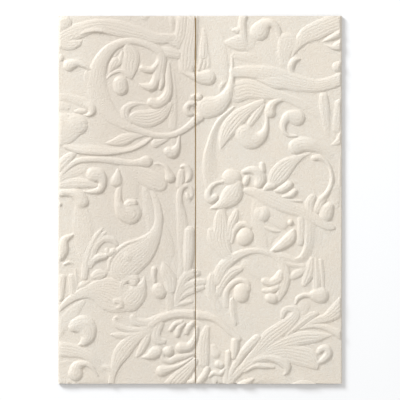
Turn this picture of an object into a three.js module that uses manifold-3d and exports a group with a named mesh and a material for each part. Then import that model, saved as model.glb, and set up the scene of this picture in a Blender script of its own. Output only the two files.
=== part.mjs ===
// A closed gate-fold invitation, lying on its back with its two gates up.
// One embossed sheet is folded at both sides round a flat inner card. Its gates meet near
// the middle of the front and carry a raised pattern of scrolls, leaves and buds.
// Millimetres, +Z up. X runs across the front, Y runs up it, and the back panel lies on Z = 0.
import * as THREE from 'three';
import { ConvexGeometry } from 'three/addons/geometries/ConvexGeometry.js';
import { mergeVertices } from 'three/addons/utils/BufferGeometryUtils.js';
import Module from 'manifold-3d';

const wasm = await Module();
wasm.setup();
const { Manifold, Mesh } = wasm;

// Driving dimensions
const FRONT_WIDTH = 139.7;
const FRONT_HEIGHT = 181;
const PAPER = 0.4;
const CARD_THICKNESS = 0.5;
const CARD_MARGIN_SIDE = 2.6;
const CARD_MARGIN_END = 0.9;
const SLACK = 0.3;
const GATE_MEETS_AT = -2.2;
const GAP_AT_TOP = 0.65;
const GAP_AT_FOOT = 0.35;
const FOLD_STEPS = 6;
const WELD = 0.001;
const GRID = 1 / 2048;
const SECTION_STEPS = 20;

// The folded sheet without its relief
const SHEET_HEIGHT = 2 * PAPER + 2 * SLACK + CARD_THICKNESS;
const FOLD_RADIUS = SHEET_HEIGHT / 2;
const HALF_WIDTH = FRONT_WIDTH / 2;
const HALF_HEIGHT = FRONT_HEIGHT / 2;

// The relief: how far a stroke is sunk into the sheet, where it dies away at the folds, and how
// its pieces are shaped. A narrow stroke has one ridge, and a low or slim end keeps a little size.
const SINK = 0.15;
const RELIEF_LIMIT = 1.4;
const FOLD_FADE = 1.8;
const FOLD_BARE = 0.45;
const FULL_HALF_WIDTH = 2.4;
const NARROW = 1.8;
const TOLERANCE = 1;
const TIP = 0.05;
const SLIM = 0.25;
const FULLNESS_POWER = 0.6;
const END_BULGE = { reach: 0.62, height: 0.72 };

// Height of each kind of stroke at its full width. Its section has a shoulder on each side, as
// [share of the half width, share of the height]. A broad stem slopes off to one side.
const ROUND = [[-0.55, 0.92], [0.55, 0.92]];
const SLOPED_LEFT = [[-0.6, 0.4], [0.6, 1]];
const SLOPED_RIGHT = [[-0.6, 1], [0.6, 0.4]];
const KINDS = {
  stem: { height: 0.84, shoulders: ROUND },
  branch: { height: 0.7, shoulders: ROUND },
  leaf: { height: 0.62, shoulders: ROUND },
  fan: { height: 0.6, shoulders: ROUND },
  horn: { height: 0.8, shoulders: ROUND },
  pod: { height: 0.92, shoulders: ROUND },
  pillow: { height: 0.67, shoulders: ROUND },
  bud: { height: 1.03, shoulders: ROUND },
  ball: { height: 1.25, shoulders: ROUND },
  left: { height: 0.72, shoulders: SLOPED_LEFT },
  right: { height: 0.72, shoulders: SLOPED_RIGHT },
};

// The raised pattern, one row for each stroke: its kind, and its points along the middle as
// [x, y, half width, share of the height], where the last is 1 if it is left out
const PATTERN = [
  // Swoosh leaf along the top of the left gate, with its lobes at the left fold
  ['leaf', [[-72, 77, 3], [-66, 80.6, 3.6], [-60, 83, 3.9], [-50, 85.8, 3.3], [-40, 84.3, 4.1],
            [-30, 82, 3.2], [-22, 79.5, 2.9], [-15.5, 79.4, 2.5], [-12.6, 79.9, 1.6]]],
  ['bud', [[-71, 82, 2.4, 0.4], [-68.6, 85.6, 3.2, 0.6], [-66.5, 87, 3.6, 0.8]]],
  ['leaf', [[-71, 78.4, 2.6], [-65, 76.3, 2.9], [-60.6, 76.8, 2], [-58.2, 78, 0.5]]],
  ['bud', [[-71, 69.6, 1.9, 0.6], [-68.6, 69.9, 1.8, 0.6]]],
  ['bud', [[-53.6, 64, 0.7], [-57, 66, 1.4], [-60.6, 67.3, 1.9], [-64.4, 66.1, 3]]],
  ['bud', [[-27.2, 90.4, 2.2, 0.4]]],
  // Great ring of the left gate
  ['stem', [[-18.6, 70.5, 2.4, 0.8], [-20.6, 73.4, 2.2], [-24.6, 75.8, 2], [-29, 77.3, 1.8], [-34, 78.1, 1.8],
            [-39.2, 77, 2.1], [-44.4, 73.9, 2.9], [-48.4, 68.6, 3.7], [-50.6, 62, 4.4, 0.75],
            [-50.6, 55, 5, 0.5], [-48.4, 48, 4.8, 0.4], [-43.8, 41.6, 3.8, 0.5], [-38, 37.3, 2.6, 0.75],
            [-32, 34.6, 1.9], [-26, 32.5, 1.6], [-20, 31.4, 1.5], [-14, 31.7, 1.5], [-8.5, 34, 1.6],
            [-3.5, 37.8, 1.9], [0, 41, 2.4]]],
  ['leaf', [[-54.8, 64, 1, 0.5], [-55.4, 61, 1.9, 0.6], [-54.6, 57, 1.8, 0.3]]],
  // Leaves and buds inside the great ring
  ['leaf', [[-44.6, 62.6, 0.4], [-43, 65.8, 1.9], [-41.6, 68.2, 1.9]]],
  ['bud', [[-41.9, 70.9, 0.4], [-40.6, 72.5, 0.8], [-39.4, 74, 0.7]]],
  ['leaf', [[-35.4, 75.2, 2.2], [-33.6, 71, 3.8], [-34.4, 66.5, 4.2], [-34.4, 62.4, 2.6], [-34, 60.4, 1.2]]],
  ['leaf', [[-38.4, 72.6, 0.8], [-39.2, 68.6, 1.5], [-41.4, 65.4, 1.1]]],
  ['stem', [[-46.4, 59, 0.3], [-43.8, 61.7, 0.8], [-40.3, 63.4, 1], [-37.6, 62.9, 1.2], [-36.2, 61, 1]]],
  ['bud', [[-39.2, 57.3, 3.6], [-38.9, 54.9, 3.7]]],
  ['stem', [[-19.6, 73, 2], [-18.8, 69, 2.6], [-19.6, 65, 3], [-20.5, 61, 2.8], [-22, 58.5, 2]]],
  ['bud', [[-20.6, 67, 1.6], [-23, 64.2, 1.8], [-26, 63.9, 1.8], [-28.2, 64.7, 1.7]]],
  ['bud', [[-21, 61, 1.6, 0.6], [-23.2, 56, 2.4], [-26.3, 55.7, 1.8], [-29.8, 56.8, 0.5]]],
  ['bud', [[-18.5, 61.5, 1.4], [-18.7, 57.5, 1.5], [-19.5, 54.6, 0.9]]],
  ['bud', [[-15.4, 67, 1, 0.5], [-15.4, 60, 1.8, 0.8], [-15.3, 54, 2.2], [-17, 49.8, 2.7], [-20.8, 47.2, 2.8],
           [-23.8, 48, 2.3]]],
  ['leaf', [[-25.6, 46.9, 0.5], [-30, 47.3, 0.9], [-34, 46.5, 1.6], [-36.7, 44, 2.2], [-36.3, 40.5, 1.9],
            [-34, 38.2, 1]]],
  ['fan', [[-14.5, 47, 1.4], [-19, 42.3, 3.4], [-25, 40, 4.4], [-30.5, 40.2, 3.6], [-33.5, 40.8, 1.6]]],
  ['bud', [[-32.6, 38.2, 0.6], [-31, 37.6, 0.8]]],
  // Scoop leaf and stem beside the gate's free edge
  ['leaf', [[-8.2, 93, 2.8], [-8.9, 85, 2.9], [-9.6, 80.5, 3.2], [-11.4, 77.4, 2.4], [-15.8, 77.4, 0.6]]],
  ['leaf', [[-9.2, 79, 2], [-10.4, 75.6, 1.5]]],
  ['leaf', [[-3.5, 93, 3], [-4.3, 82, 3.3], [-6, 75, 3.6], [-6.7, 69, 3.5], [-7.4, 64.6, 2.9]]],
  ['leaf', [[-21, 73.6, 1.6, 0.4], [-15.5, 72.5, 2.6], [-10.8, 71.3, 2.1]]],
  ['bud', [[-8.5, 62.6, 0.5], [-5, 61.4, 1.5], [-1.8, 60.4, 2.4], [1.4, 59.9, 3.3], [4, 60.1, 3.9]]],
  ['bud', [[-2.6, 47.2, 1.3], [-5, 47.2, 1.4], [-6.7, 45.2, 1.6], [-5.9, 42.7, 1.6], [-4.2, 42.2, 1.2]]],
  ['bud', [[-3.4, 50.7, 1.3], [-0.6, 50.6, 2]]],
  // Curls and big bud at the left fold
  ['bud', [[-57, 47.4, 1.6, 0.4], [-53.8, 46, 2.1, 0.8], [-53, 43.4, 1.8], [-55, 41.6, 1], [-56.8, 41.8, 0.4]]],
  ['leaf', [[-62, 43.4, 0.5], [-59, 43.6, 1.4], [-56.4, 43.7, 1]]],
  ['pillow', [[-71, 33.8, 7.8], [-67.5, 34.8, 7.9], [-64, 36, 6.6]]],
  ['bud', [[-62, 37.4, 5, 0.9], [-60.2, 36.8, 5.1, 0.9]]],
  // Pod and leaf that hang from the great ring
  ['bud', [[-15.5, 23.7, 2.4], [-13.5, 23, 2.9], [-11.9, 24.6, 2.2], [-10.8, 27, 1.3], [-10.2, 31, 0.7]]],
  ['leaf', [[-14.8, 30.6, 0.7], [-18.4, 28.9, 1.4], [-22, 27.6, 2.1]]],
  // Crescent stems under the great ring
  ['leaf', [[-46.8, 27.8, 0.3], [-42.5, 28.2, 1.7], [-37.5, 29.5, 2.9], [-32.5, 31.1, 1.8], [-28, 31.8, 1]]],
  ['right', [[-66, 26.5, 1.4], [-60, 25.2, 2.4], [-52, 24.7, 2.8], [-45, 24.2, 2.4], [-38.5, 24.2, 1.5],
             [-33, 25.4, 1.4], [-28, 27.9, 1.4], [-24.3, 30.4, 1]]],
  ['stem', [[-71, 9, 1], [-65.6, 15.2, 1.3], [-60.4, 18.9, 1.5], [-54, 19.8, 1.5], [-47, 19.6, 1.6],
            [-40, 18.7, 1.8], [-34, 18, 1.6], [-29.6, 18.3, 2], [-26.2, 18.9, 2.9]]],
  ['leaf', [[-71, 14, 2], [-67, 18.4, 2.6], [-63.3, 21.8, 1.8], [-60.6, 23, 0.5]]],
  ['leaf', [[-70, 9, 1.4], [-63.5, 13.2, 2.6, 0.5], [-57.5, 15.4, 2.2, 0.3]]],
  ['leaf', [[-71, 6.8, 1.6], [-63, 8, 2.6], [-56, 8, 2.2], [-51.3, 7, 1.3]]],
  ['bud', [[-57.2, 4.1, 0.5], [-53, 3.9, 1.2], [-49.2, 5.1, 1.9], [-47.8, 8.8, 2.1], [-49.5, 12, 3.3],
           [-52.3, 12.3, 3.8]]],
  ['bud', [[-71, 3.2, 1.8], [-64.2, 3.5, 2.1], [-60, 2, 3.2], [-58.1, -0.8, 3.5]]],
  ['bud', [[-70.5, -1.4, 1.4], [-69, -2.2, 1.2]]],
  ['bud', [[-40.4, 14.8, 0.7], [-40.5, 11.8, 2], [-40.9, 9.2, 3.1]]],
  // Broad leaf and pouch hanging from the crescent stem
  ['leaf', [[-37, 16, 2.6, 0.5], [-30, 12.8, 3.8, 0.7], [-23.5, 9.6, 4.6], [-19.8, 7.8, 3.8]]],
  ['bud', [[-22.2, 17.7, 0.6], [-19.6, 17.6, 0.7], [-16.8, 15.8, 1.2], [-15.2, 12.6, 2], [-14.6, 10.8, 2.6]]],
  ['bud', [[-38.2, 8.5, 1, 0.5], [-39.9, 4, 1.7, 0.7], [-39.9, -2, 2.2], [-37.6, -6, 4], [-34.3, -6.6, 5.6]]],
  ['bud', [[-37.6, -3.3, 1], [-34.6, -1.8, 2.2], [-32.6, -1.6, 2]]],
  // Strap, lip and striped horn in the middle of the left gate
  ['horn', [[-23, 4, 1.4, 0.3], [-20.6, -5, 2, 0.7], [-20.6, -13, 2.5], [-23.6, -20, 4], [-28.6, -25.8, 6.2],
            [-35, -30.6, 7.6], [-38, -34, 6.8]]],
  ['stem', [[-22.4, -1, 0.4], [-21, -8, 0.9], [-22, -13, 1.1], [-25, -17.2, 1.2], [-30, -19.7, 1.1],
            [-36, -21.6, 1.1], [-40.3, -24.8, 1.2], [-44, -29.3, 1.2], [-45, -34, 0.9]]],
  ['bud', [[-36.3, -26, 1.4], [-35.3, -28.2, 3]]],
  // Leaves along the left fold below the middle
  ['bud', [[-62.6, -17.2, 0.8], [-66.6, -19.8, 2], [-67.4, -24.5, 2.9], [-68.6, -27.3, 2.7]]],
  ['bud', [[-66.9, -31.8, 0.7], [-64.6, -30.8, 0.9], [-62.6, -31.3, 0.4]]],
  ['leaf', [[-69, -48, 2], [-68.2, -42, 2], [-67.6, -38.4, 1.8]]],
  ['leaf', [[-62.6, -46, 1.5], [-63, -41, 1.7], [-63.2, -37.8, 1.6]]],
  ['leaf', [[-60.6, -44, 0.7], [-61, -39, 0.9], [-61.2, -34, 0.5]]],
  // Acanthus leaf left of the horn
  ['leaf', [[-57, -38, 1.7], [-55.6, -29, 2], [-53.2, -22, 1.6], [-50.6, -17.4, 1.3], [-47.6, -13.6, 0.4]]],
  ['leaf', [[-54.6, -32, 1.6], [-51.6, -23.4, 1.9], [-47.3, -19.4, 1.7], [-43.2, -19.8, 1.6], [-41, -22, 1]]],
  ['bud', [[-53.8, -33, 1.1, 0.6], [-52.6, -30.2, 1.8, 0.8], [-50, -28.4, 2], [-47, -27.9, 1.6], [-45.4, -26.8, 1]]],
  ['leaf', [[-50, -19, 0.9], [-47.6, -17, 1], [-45.7, -15.5, 0.3]]],
  ['bud', [[-45.9, -24.8, 1.2], [-44.6, -26.6, 1.6], [-42.6, -25.4, 1.8]]],
  ['leaf', [[-52, -37.6, 1.8], [-49.6, -36.7, 2.6], [-47.3, -36.4, 1.7]]],
  ['leaf', [[-60, -43.4, 0.7], [-57.5, -41.6, 1.5], [-54.4, -40.2, 0.5]]],
  // Branch and cup at the lower left
  ['leaf', [[-71, -55.6, 0.9], [-65, -50, 1.7], [-60, -46.9, 2.3], [-54, -45, 3.7], [-48, -45.2, 6.3],
            [-43, -46.9, 8.5], [-38, -48.6, 6.8]]],
  ['horn', [[-27.3, -37.9, 0.4], [-28.3, -42, 2], [-31.4, -46.6, 5], [-34.4, -49.6, 5.6]]],
  ['stem', [[-40, -49.5, 0.6], [-39.6, -45, 1.1], [-38, -41, 1.6], [-35.3, -38.8, 2.1], [-32.2, -39.1, 2.4]]],
  ['bud', [[-33.6, -40, 1.8], [-32.4, -41, 2.1]]],
  ['bud', [[-44.4, -53.8, 0.6], [-41.4, -53.5, 1.1], [-38.8, -52, 1.9], [-39.4, -50, 2.3], [-41.6, -49.8, 2]]],
  // Comma bud, band and curl in the lower left corner
  ['bud', [[-60, -71.6, 0.4], [-57, -70, 2], [-55, -66.6, 3.7], [-56.4, -62, 5], [-60.4, -61.6, 3.8],
           [-62.2, -62.6, 2.7]]],
  ['leaf', [[-71, -73.4, 3.8], [-64, -74, 3.6], [-58, -75.6, 2.7], [-53, -78.6, 2.3, 0.8], [-48.6, -83, 2, 0.3]]],
  ['bud', [[-50.4, -86.4, 0.6], [-53.4, -82.2, 1.2], [-57, -80.6, 1.6], [-60.6, -82.2, 2.7], [-61.3, -85.5, 3.7]]],
  ['leaf', [[-49.2, -82.4, 1.1, 0.6], [-44.8, -83, 1.6], [-43.6, -87, 1]]],
  // Leaf spray at the foot of the left gate
  ['leaf', [[-23.6, -63.6, 1.6], [-29, -66.4, 2.2], [-34, -70, 3.5], [-38.3, -75, 4], [-41, -80, 2.8],
            [-43, -86, 1.8], [-44, -93, 1.6]]],
  ['leaf', [[-33, -57.8, 1.7], [-31.2, -60, 2.1], [-26, -60.5, 2], [-21, -58.6, 2.1], [-17, -57.3, 2]]],
  ['leaf', [[-39.3, -58.3, 0.5], [-41.2, -57.8, 1], [-42, -60, 1.4], [-39.5, -62.4, 1.7], [-35, -64, 1.5],
            [-29, -64, 1.5], [-24, -62, 1.6]]],
  ['leaf', [[-43.4, -66.4, 0.8], [-40, -66.7, 1.6], [-35, -66.6, 1.3], [-30, -65.4, 1.2]]],
  ['stem', [[-24, -61.4, 2.2], [-19, -58.2, 2.2], [-14, -56.7, 2.2], [-8, -56.1, 2.1], [-2, -56.6, 2.3],
            [3, -57.2, 2.1], [7, -58.5, 1.8], [10.5, -60.9, 1.7], [14.5, -64.6, 1.6], [19, -68.4, 1.5]]],
  ['leaf', [[-19.6, -61, 2], [-21.6, -65.4, 2.4], [-21, -68.9, 2.3], [-17.8, -69.8, 1.4]]],
  ['leaf', [[-24.6, -65, 1.4], [-26.8, -69.6, 2], [-29, -74, 1.8], [-31.1, -77, 0.8]]],
  ['bud', [[-28.4, -77.5, 0.5], [-25, -77, 1.8], [-22.4, -75.4, 3], [-21, -74.8, 2.7]]],
  ['bud', [[-9, -60, 1.1], [-12.3, -61.2, 1.3], [-14.6, -64, 1.1]]],
  ['bud', [[-8, -61, 1.1], [-10.3, -63.3, 1.6], [-11.2, -66.4, 1.5]]],
  ['bud', [[-3.6, -60.6, 1.2], [-5.8, -63, 1.6], [-6.6, -65.2, 1.4]]],
  ['bud', [[-1.4, -63, 0.9], [-2.4, -68, 1.6], [-5.3, -72.2, 2.2], [-9.4, -72.8, 2.7]]],
  ['bud', [[-15.4, -74.6, 2.6]]],
  ['stem', [[-16.4, -72.6, 0.6], [-18.2, -75, 0.9], [-18.2, -78.2, 1.3], [-15, -79.5, 1.4], [-11.5, -77.9, 1.7],
            [-7, -76.9, 1.4], [-3.5, -75.8, 0.7]]],
  ['bud', [[-4, -77.8, 0.5], [-9, -81, 1], [-14, -83, 1.5], [-18.9, -84.3, 2.8]]],
  ['fan', [[-2, -79, 1.4], [-6.4, -84, 3], [-11, -88.6, 3.8], [-15, -93, 4]]],
  ['bud', [[-5.4, -89.6, 1], [-3, -89, 1.5], [-2.6, -86, 0.6]]],
  // Curls and straps beside the gate's free edge
  ['bud', [[-9.2, 16.2, 0.8], [-7.2, 16.6, 1.3], [-5.2, 14, 1.6], [-5.4, 10.8, 1.4], [-6.8, 8.8, 0.6]]],
  ['leaf', [[-9.2, 13.6, 1.5], [-9.5, 10.5, 2], [-10, 7, 1.8]]],
  ['stem', [[-6, 7.1, 1], [-8.6, 6, 1.4], [-10, 3, 1.6], [-10, -2, 1.8], [-9, -8, 2.6, 0.7],
            [-8.6, -14, 2.8, 0.5], [-9.4, -20, 2, 0.4]]],
  ['bud', [[-6.4, 2.6, 1], [-5.6, 1, 1.4]]],
  ['stem', [[-6, 7.1, 0.9], [-4.4, 5.4, 1], [-4, 2.4, 0.9], [-5.2, -0.6, 0.7]]],
  ['bud', [[-5.3, -15.8, 2.8], [-5.3, -21, 2.9], [-5.6, -28, 2.7], [-6.2, -34, 2, 0.6]]],
  // Flower and fan leaf beside the gate's free edge
  ['bud', [[-22.6, -34.3, 1.5], [-22.8, -37.4, 1.4], [-22.2, -40, 0.9]]],
  ['leaf', [[-18.1, -30.6, 0.3], [-17, -35, 2.7], [-14.8, -39, 3.2], [-14.4, -44, 2.6]]],
  ['bud', [[-20.5, -44.2, 3.2], [-19.6, -45.6, 3.3]]],
  ['leaf', [[-12, -49, 0.9], [-9.5, -41.8, 1.9], [-6, -37, 2.4], [-1.6, -35.9, 1.9]]],
  ['leaf', [[-11.8, -50, 0.8], [-8, -43.6, 1.7], [-3, -41, 2], [2, -40.2, 1.6]]],
  ['leaf', [[-11.6, -51, 0.7], [-7.5, -46.6, 1.5], [-3, -44.4, 1.7], [1.5, -42.9, 1.2]]],
  ['leaf', [[-11.6, -52, 0.6], [-8, -50.8, 1.3], [-4.5, -50, 1.1]]],
  // Hanging fold, leaf and stems at the top of the right gate
  ['fan', [[2, 84, 1, 0.5], [2, 77, 1.9, 0.8], [1.6, 71, 2]]],
  ['leaf', [[1.6, 74, 0.6], [0.8, 69, 0.9], [-0.6, 64.2, 0.9]]],
  ['leaf', [[2.4, 74, 0.6], [2.5, 69, 0.8], [1.8, 65, 0.8]]],
  ['leaf', [[3.4, 75, 0.6], [4, 70, 0.9], [4.3, 66, 0.9]]],
  ['leaf', [[11.3, 77.7, 0.2], [15, 77.2, 2.2], [19.5, 77.2, 4], [23, 77.8, 4.4, 0.4]]],
  ['bud', [[16.4, 83.5, 0.9], [18.6, 83.3, 1.7]]],
  ['stem', [[21.6, 93, 2.2], [20.8, 86, 2], [21.3, 80, 2.1], [22.8, 74.6, 1.8, 0.3]]],
  ['bud', [[39, 80, 1.3, 0.4], [38, 84, 1.8, 0.8], [35, 86.9, 2.1], [31.6, 86, 3.1], [29.3, 82.9, 4.7]]],
  ['leaf', [[41.4, 68, 2.6, 0.3], [41.7, 73, 3.6, 0.7], [43.2, 77.4, 5]]],
  ['leaf', [[45.4, 70.8, 0.5], [48, 76, 2.2], [52, 80.6, 3.8], [57, 83, 4.6], [63, 85.8, 4.4], [71, 89, 5]]],
  ['bud', [[60.3, 77.8, 0.3], [64, 79.3, 1.3], [67.5, 81.2, 1.8], [71, 82.6, 2]]],
  ['bud', [[61.5, 76.4, 0.2], [65, 75.1, 1.2], [68, 75.6, 2.4], [71, 76.6, 3]]],
  ['bud', [[67.5, 65.4, 2.6, 0.8], [71, 66, 2.8]]],
  ['bud', [[44.8, 63.2, 1.3, 0.4], [45, 66.2, 1.8], [46.4, 68.6, 1.6], [48.8, 69.2, 0.8]]],
  // Lobed branch that sweeps to the right fold
  ['branch', [[16.8, 62.6, 2.6], [22, 63, 3], [28, 62.6, 3.4], [35, 61.4, 4.4], [43, 58.6, 4.6],
              [50, 57, 4], [57, 56.1, 3.3], [64, 57.4, 3.2], [72, 60.5, 3.2]]],
  ['leaf', [[27.5, 59.4, 0.4, 1.2], [32, 58.4, 1.6, 1.3], [37, 58, 3.4, 1.4], [42, 56.4, 2.2, 1.3],
            [48, 54.6, 1, 1]]],
  ['bud', [[3.4, 45.2, 5.4], [8.4, 46.4, 4.7], [12.4, 50, 3.3], [14.8, 54.6, 2.2], [15.6, 59, 1.5],
           [15.9, 65, 0.9], [15.6, 71, 0.7, 0.6]]],
  ['bud', [[13, 53.6, 0.5], [11, 56.3, 1.5], [9.6, 56.4, 0.6]]],
  ['fan', [[18.2, 53, 5.2], [23.5, 54.4, 4.8], [30, 53.1, 3.8], [36, 51.9, 2.7], [43, 49.9, 2.2, 0.8],
           [50, 47, 2.4, 0.5], [57, 43, 2.6, 0.2]]],
  // Striped leaves, crescent and big curl under the branch
  ['fan', [[9.9, 24.4, 0.3], [11.5, 29.5, 2.2], [14.3, 35, 3.8], [19, 40.6, 3.8], [25, 45, 2.4], [31, 48.5, 1.3]]],
  ['left', [[5.6, 7, 3.4, 0.5], [5, 15, 3.8, 0.8], [4.9, 22, 3.2], [5.7, 28, 2.3], [7.3, 34, 1.7], [10.2, 39.2, 1.4],
            [16.5, 45.2, 0.9]]],
  ['fan', [[24.8, 37.6, 1.6], [28, 42.3, 2], [31.4, 46.6, 1]]],
  ['bud', [[32.6, 44, 0.9], [32.9, 38, 1.1], [31.9, 33.6, 1.9], [29, 30.2, 3.3], [24.8, 29.7, 4.9], [22, 32.4, 4.7]]],
  ['bud', [[43, 48.9, 0.6, 0.6], [39.4, 49, 1.1], [36.2, 47.5, 1.8], [34.6, 45, 2.5], [34.7, 42.8, 2.6]]],
  ['bud', [[47.5, 31.4, 0.7], [43.4, 31.7, 1], [41.1, 34.4, 1.4], [41.3, 38.2, 1.9], [43.6, 41, 2.7],
           [47.8, 40.4, 4.1]]],
  // Leaves along the right fold
  ['leaf', [[60.8, 50.4, 2.3], [61.3, 45, 2.6], [61.8, 40, 2.2, 0.7], [62.6, 33, 1.5, 0.3]]],
  ['leaf', [[69.4, 46.6, 3.2], [68.4, 41, 2.8, 0.8], [67, 35, 2, 0.5]]],
  ['leaf', [[65, 27, 0.6], [68, 28.6, 1.7], [71, 32, 2.6]]],
  // Bud, hook and spindle leaf above the calyx
  ['bud', [[47.2, 26.1, 3.8], [50.4, 27.3, 3.8], [54.4, 26.9, 3.3], [59.5, 24.8, 2.4, 0.5], [64, 22, 2, 0.2]]],
  ['bud', [[56.2, 20.6, 1.5], [59, 20.6, 1.5], [62, 18.8, 1.2], [64, 15.6, 1], [64.9, 11, 1.2], [64.4, 7, 1.3],
           [62.6, 3.4, 1.4], [59.6, 0.3, 1.5]]],
  ['fan', [[54.4, 23, 0.4], [49, 20.7, 1.5], [43.6, 17.4, 3.6], [39.4, 13.2, 4.6], [36.6, 9.4, 3.2], [35, 7.2, 1.2]]],
  ['bud', [[31.5, 4.8, 1], [34.2, 6.7, 2], [36.2, 6.9, 1.6]]],
  ['bud', [[37.4, 4.4, 1], [40.6, 5.1, 1.9], [43.9, 7.5, 2.1]]],
  ['bud', [[41, 1.4, 0.9], [44.6, 2.3, 1.6], [46.7, 4.2, 1.5]]],
  ['bud', [[38, 0.8, 0.7], [44, -0.4, 0.9], [49.8, -0.6, 0.6]]],
  // Calyx and branch that falls to the right fold
  ['branch', [[22.4, 4.4, 1.4], [27, 3.5, 2.5], [34, 0.6, 3.8], [42, -3, 3.5], [50, -6, 3], [57, -9.7, 2.8],
              [62.5, -12.8, 2.3], [65.3, -13.6, 1.4]]],
  ['leaf', [[53.8, -5.6, 2], [54, -1.6, 2.3], [55.4, 1.2, 1.9]]],
  ['leaf', [[62.6, 3, 1.2, 0.6], [59.8, -0.6, 2], [57.6, -5, 2]]],
  ['bud', [[62, -7.6, 3.3], [62.4, -5.6, 3.5], [63.8, -3.2, 2.2]]],
  // Ball bud, hooks and pod left of the calyx
  ['bud', [[21.7, 13.8, 1.2], [24.6, 14.7, 1.8], [28, 13.8, 2.6], [29.7, 10.5, 3], [28.8, 7.6, 2.2]]],
  ['bud', [[30.6, 17.6, 1.3], [30.6, 14.5, 1.8]]],
  ['bud', [[22.4, 8.4, 1.6], [23.2, 10.5, 1.6]]],
  ['pod', [[18.5, 7.5, 2.6], [16, 2.6, 5], [12.4, -1, 3.4], [9, -3, 1.8], [5, -4.4, 0.4]]],
  ['ball', [[15, 11, 4.2], [16.3, 10.7, 4.2]]],
  ['bud', [[11.6, 9, 0.7], [8, 8.2, 1.1], [5, 5.8, 1.4], [3.9, 2.2, 1.8], [5.2, 0, 2.1], [7.6, 1.2, 1.8]]],
  // Acanthus leaf, ball scroll and trunk at the middle of the right gate
  ['fan', [[10.8, -5, 1.8], [10.3, -9, 3.1], [10.2, -14.5, 3.9], [9.8, -20, 4.8], [12.4, -26, 3.4], [16, -30, 1.6]]],
  ['fan', [[5.3, -15.6, 1.8], [6, -19, 2.6], [7.6, -23, 2]]],
  ['fan', [[17.8, -5.9, 1.4], [16.8, -9, 2.1], [14.8, -13.4, 2], [14, -19, 1.8]]],
  ['stem', [[15.6, -21, 0.9], [16.6, -16, 1.4], [18.8, -12.9, 1.6], [22, -12, 1.4], [24.8, -13.6, 1.2]]],
  ['ball', [[21.6, -19, 3.8], [22.6, -17.8, 4]]],
  ['ball', [[29.6, -6.6, 3.4, 0.7], [31, -7, 3.9]]],
  ['bud', [[32, -13.4, 0.7], [35.4, -15, 1], [38.8, -15.6, 0.6]]],
  ['leaf', [[31, -3, 1.6, 0.4], [36, -8, 3.4, 0.7], [40.6, -11.6, 3, 0.8]]],
  ['bud', [[35.6, -25, 1], [40.2, -22.4, 2.5], [44.3, -18.9, 3], [45.9, -15.4, 1.2]]],
  ['ball', [[44.5, -11.2, 1.6]]],
  ['leaf', [[49.8, -9.6, 1.9], [49.7, -16, 2], [49.3, -20.9, 1.8]]],
  ['left', [[44, -29.2, 0.5], [48.6, -29.6, 1.7], [52, -27.2, 2.4], [53.8, -22.4, 2.6], [54.4, -16, 3, 0.8],
            [54, -9, 3, 0.4]]],
  ['fan', [[36, -26.6, 0.8], [42, -28.2, 1.7], [47.6, -30.4, 1.4]]],
  ['fan', [[38, -29.4, 0.7], [44, -31.6, 1.4], [51, -32.8, 1.2]]],
  ['leaf', [[45.4, -38, 1.5], [47.6, -36.6, 2.1], [50.2, -35, 1.6], [51.8, -33, 0.8]]],
  // Tassel leaf and dumbbell bud at the right
  ['fan', [[55, -29.5, 1.4], [53.6, -36, 2.6], [51.4, -41.3, 1.5]]],
  ['fan', [[57, -30, 1.2], [57.4, -37, 1.9], [57.4, -43, 1.8]]],
  ['fan', [[59.4, -30, 1.2], [60, -37, 1.4], [60.6, -42.6, 0.8]]],
  ['bud', [[47, -51.2, 0.5], [48.2, -48.4, 1.2], [51.4, -46.9, 1.2], [54.4, -47, 1.6], [57, -47.1, 3.2],
           [59.4, -47, 4.1]]],
  // Great scroll of the right gate with its leaves, ball and flower bud
  ['branch', [[8.4, -39.6, 2.6, 0.8], [11, -33.6, 3], [15.4, -29.4, 2.6], [21, -26.4, 2], [27, -25.1, 1.5],
              [33, -25.9, 1.5], [37.6, -28.4, 1.8], [41, -32.4, 2.5], [42, -38, 2.6], [40.6, -43.6, 2.6],
              [38.6, -48.6, 1.6]]],
  ['fan', [[5.8, -37.4, 1.6], [5.2, -41.4, 2.4], [5.8, -47, 2.4, 0.7], [8.6, -53, 2.2, 0.3]]],
  ['fan', [[9, -46, 1.8, 0.6], [11.6, -40.6, 2], [15.4, -36, 2.3], [20, -33.9, 1.5]]],
  ['stem', [[12.8, -52, 1.6, 0.4], [12.8, -46, 1.5], [15.3, -41.8, 1.4], [19.4, -39.6, 1.3], [23, -40.8, 1.4],
            [24, -44, 1.1]]],
  ['ball', [[20.6, -44.8, 3.8], [20.3, -46.9, 3.9]]],
  ['right', [[16.5, -50, 2], [16.6, -55, 1.9], [17.6, -60.4, 1.5]]],
  ['bud', [[31.8, -40, 1.9], [35, -40.8, 2.2], [38.6, -39, 2.7], [39.6, -36.4, 2]]],
  ['bud', [[31.6, -44.6, 1.2], [34.4, -44.8, 1.7], [38, -43, 2]]],
  ['ball', [[34.6, -48.2, 2.7], [36, -48.6, 2.7]]],
  ['bud', [[32.6, -48.3, 0.9]]],
  // Pods under the middle of the right gate
  ['leaf', [[3.4, -63.4, 1.6], [2.2, -68, 2.6], [1.7, -74, 3], [1.9, -80, 2.6]]],
  ['bud', [[6.6, -72.4, 1.5, 0.4], [7.8, -75.8, 2.4, 0.5]]],
  ['bud', [[9, -80.9, 1.9], [10.2, -81.3, 1.9]]],
  ['bud', [[3.6, -83.2, 1.5], [2.2, -86.4, 1.8], [-0.6, -89.6, 1.6]]],
  ['bud', [[4.4, -87, 0.8], [7, -85.2, 1.3], [10, -85.6, 1.3], [12.4, -83, 0.8]]],
  ['bud', [[17.4, -69.6, 2.1], [17.2, -73.4, 2.1], [16.6, -77.4, 1.4]]],
  ['bud', [[14, -75.2, 1.5], [13.9, -78, 1.5], [13.4, -83, 1.5, 0.6], [12.4, -92, 1.6, 0.6]]],
  // Great leaf at the foot of the right gate
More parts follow.
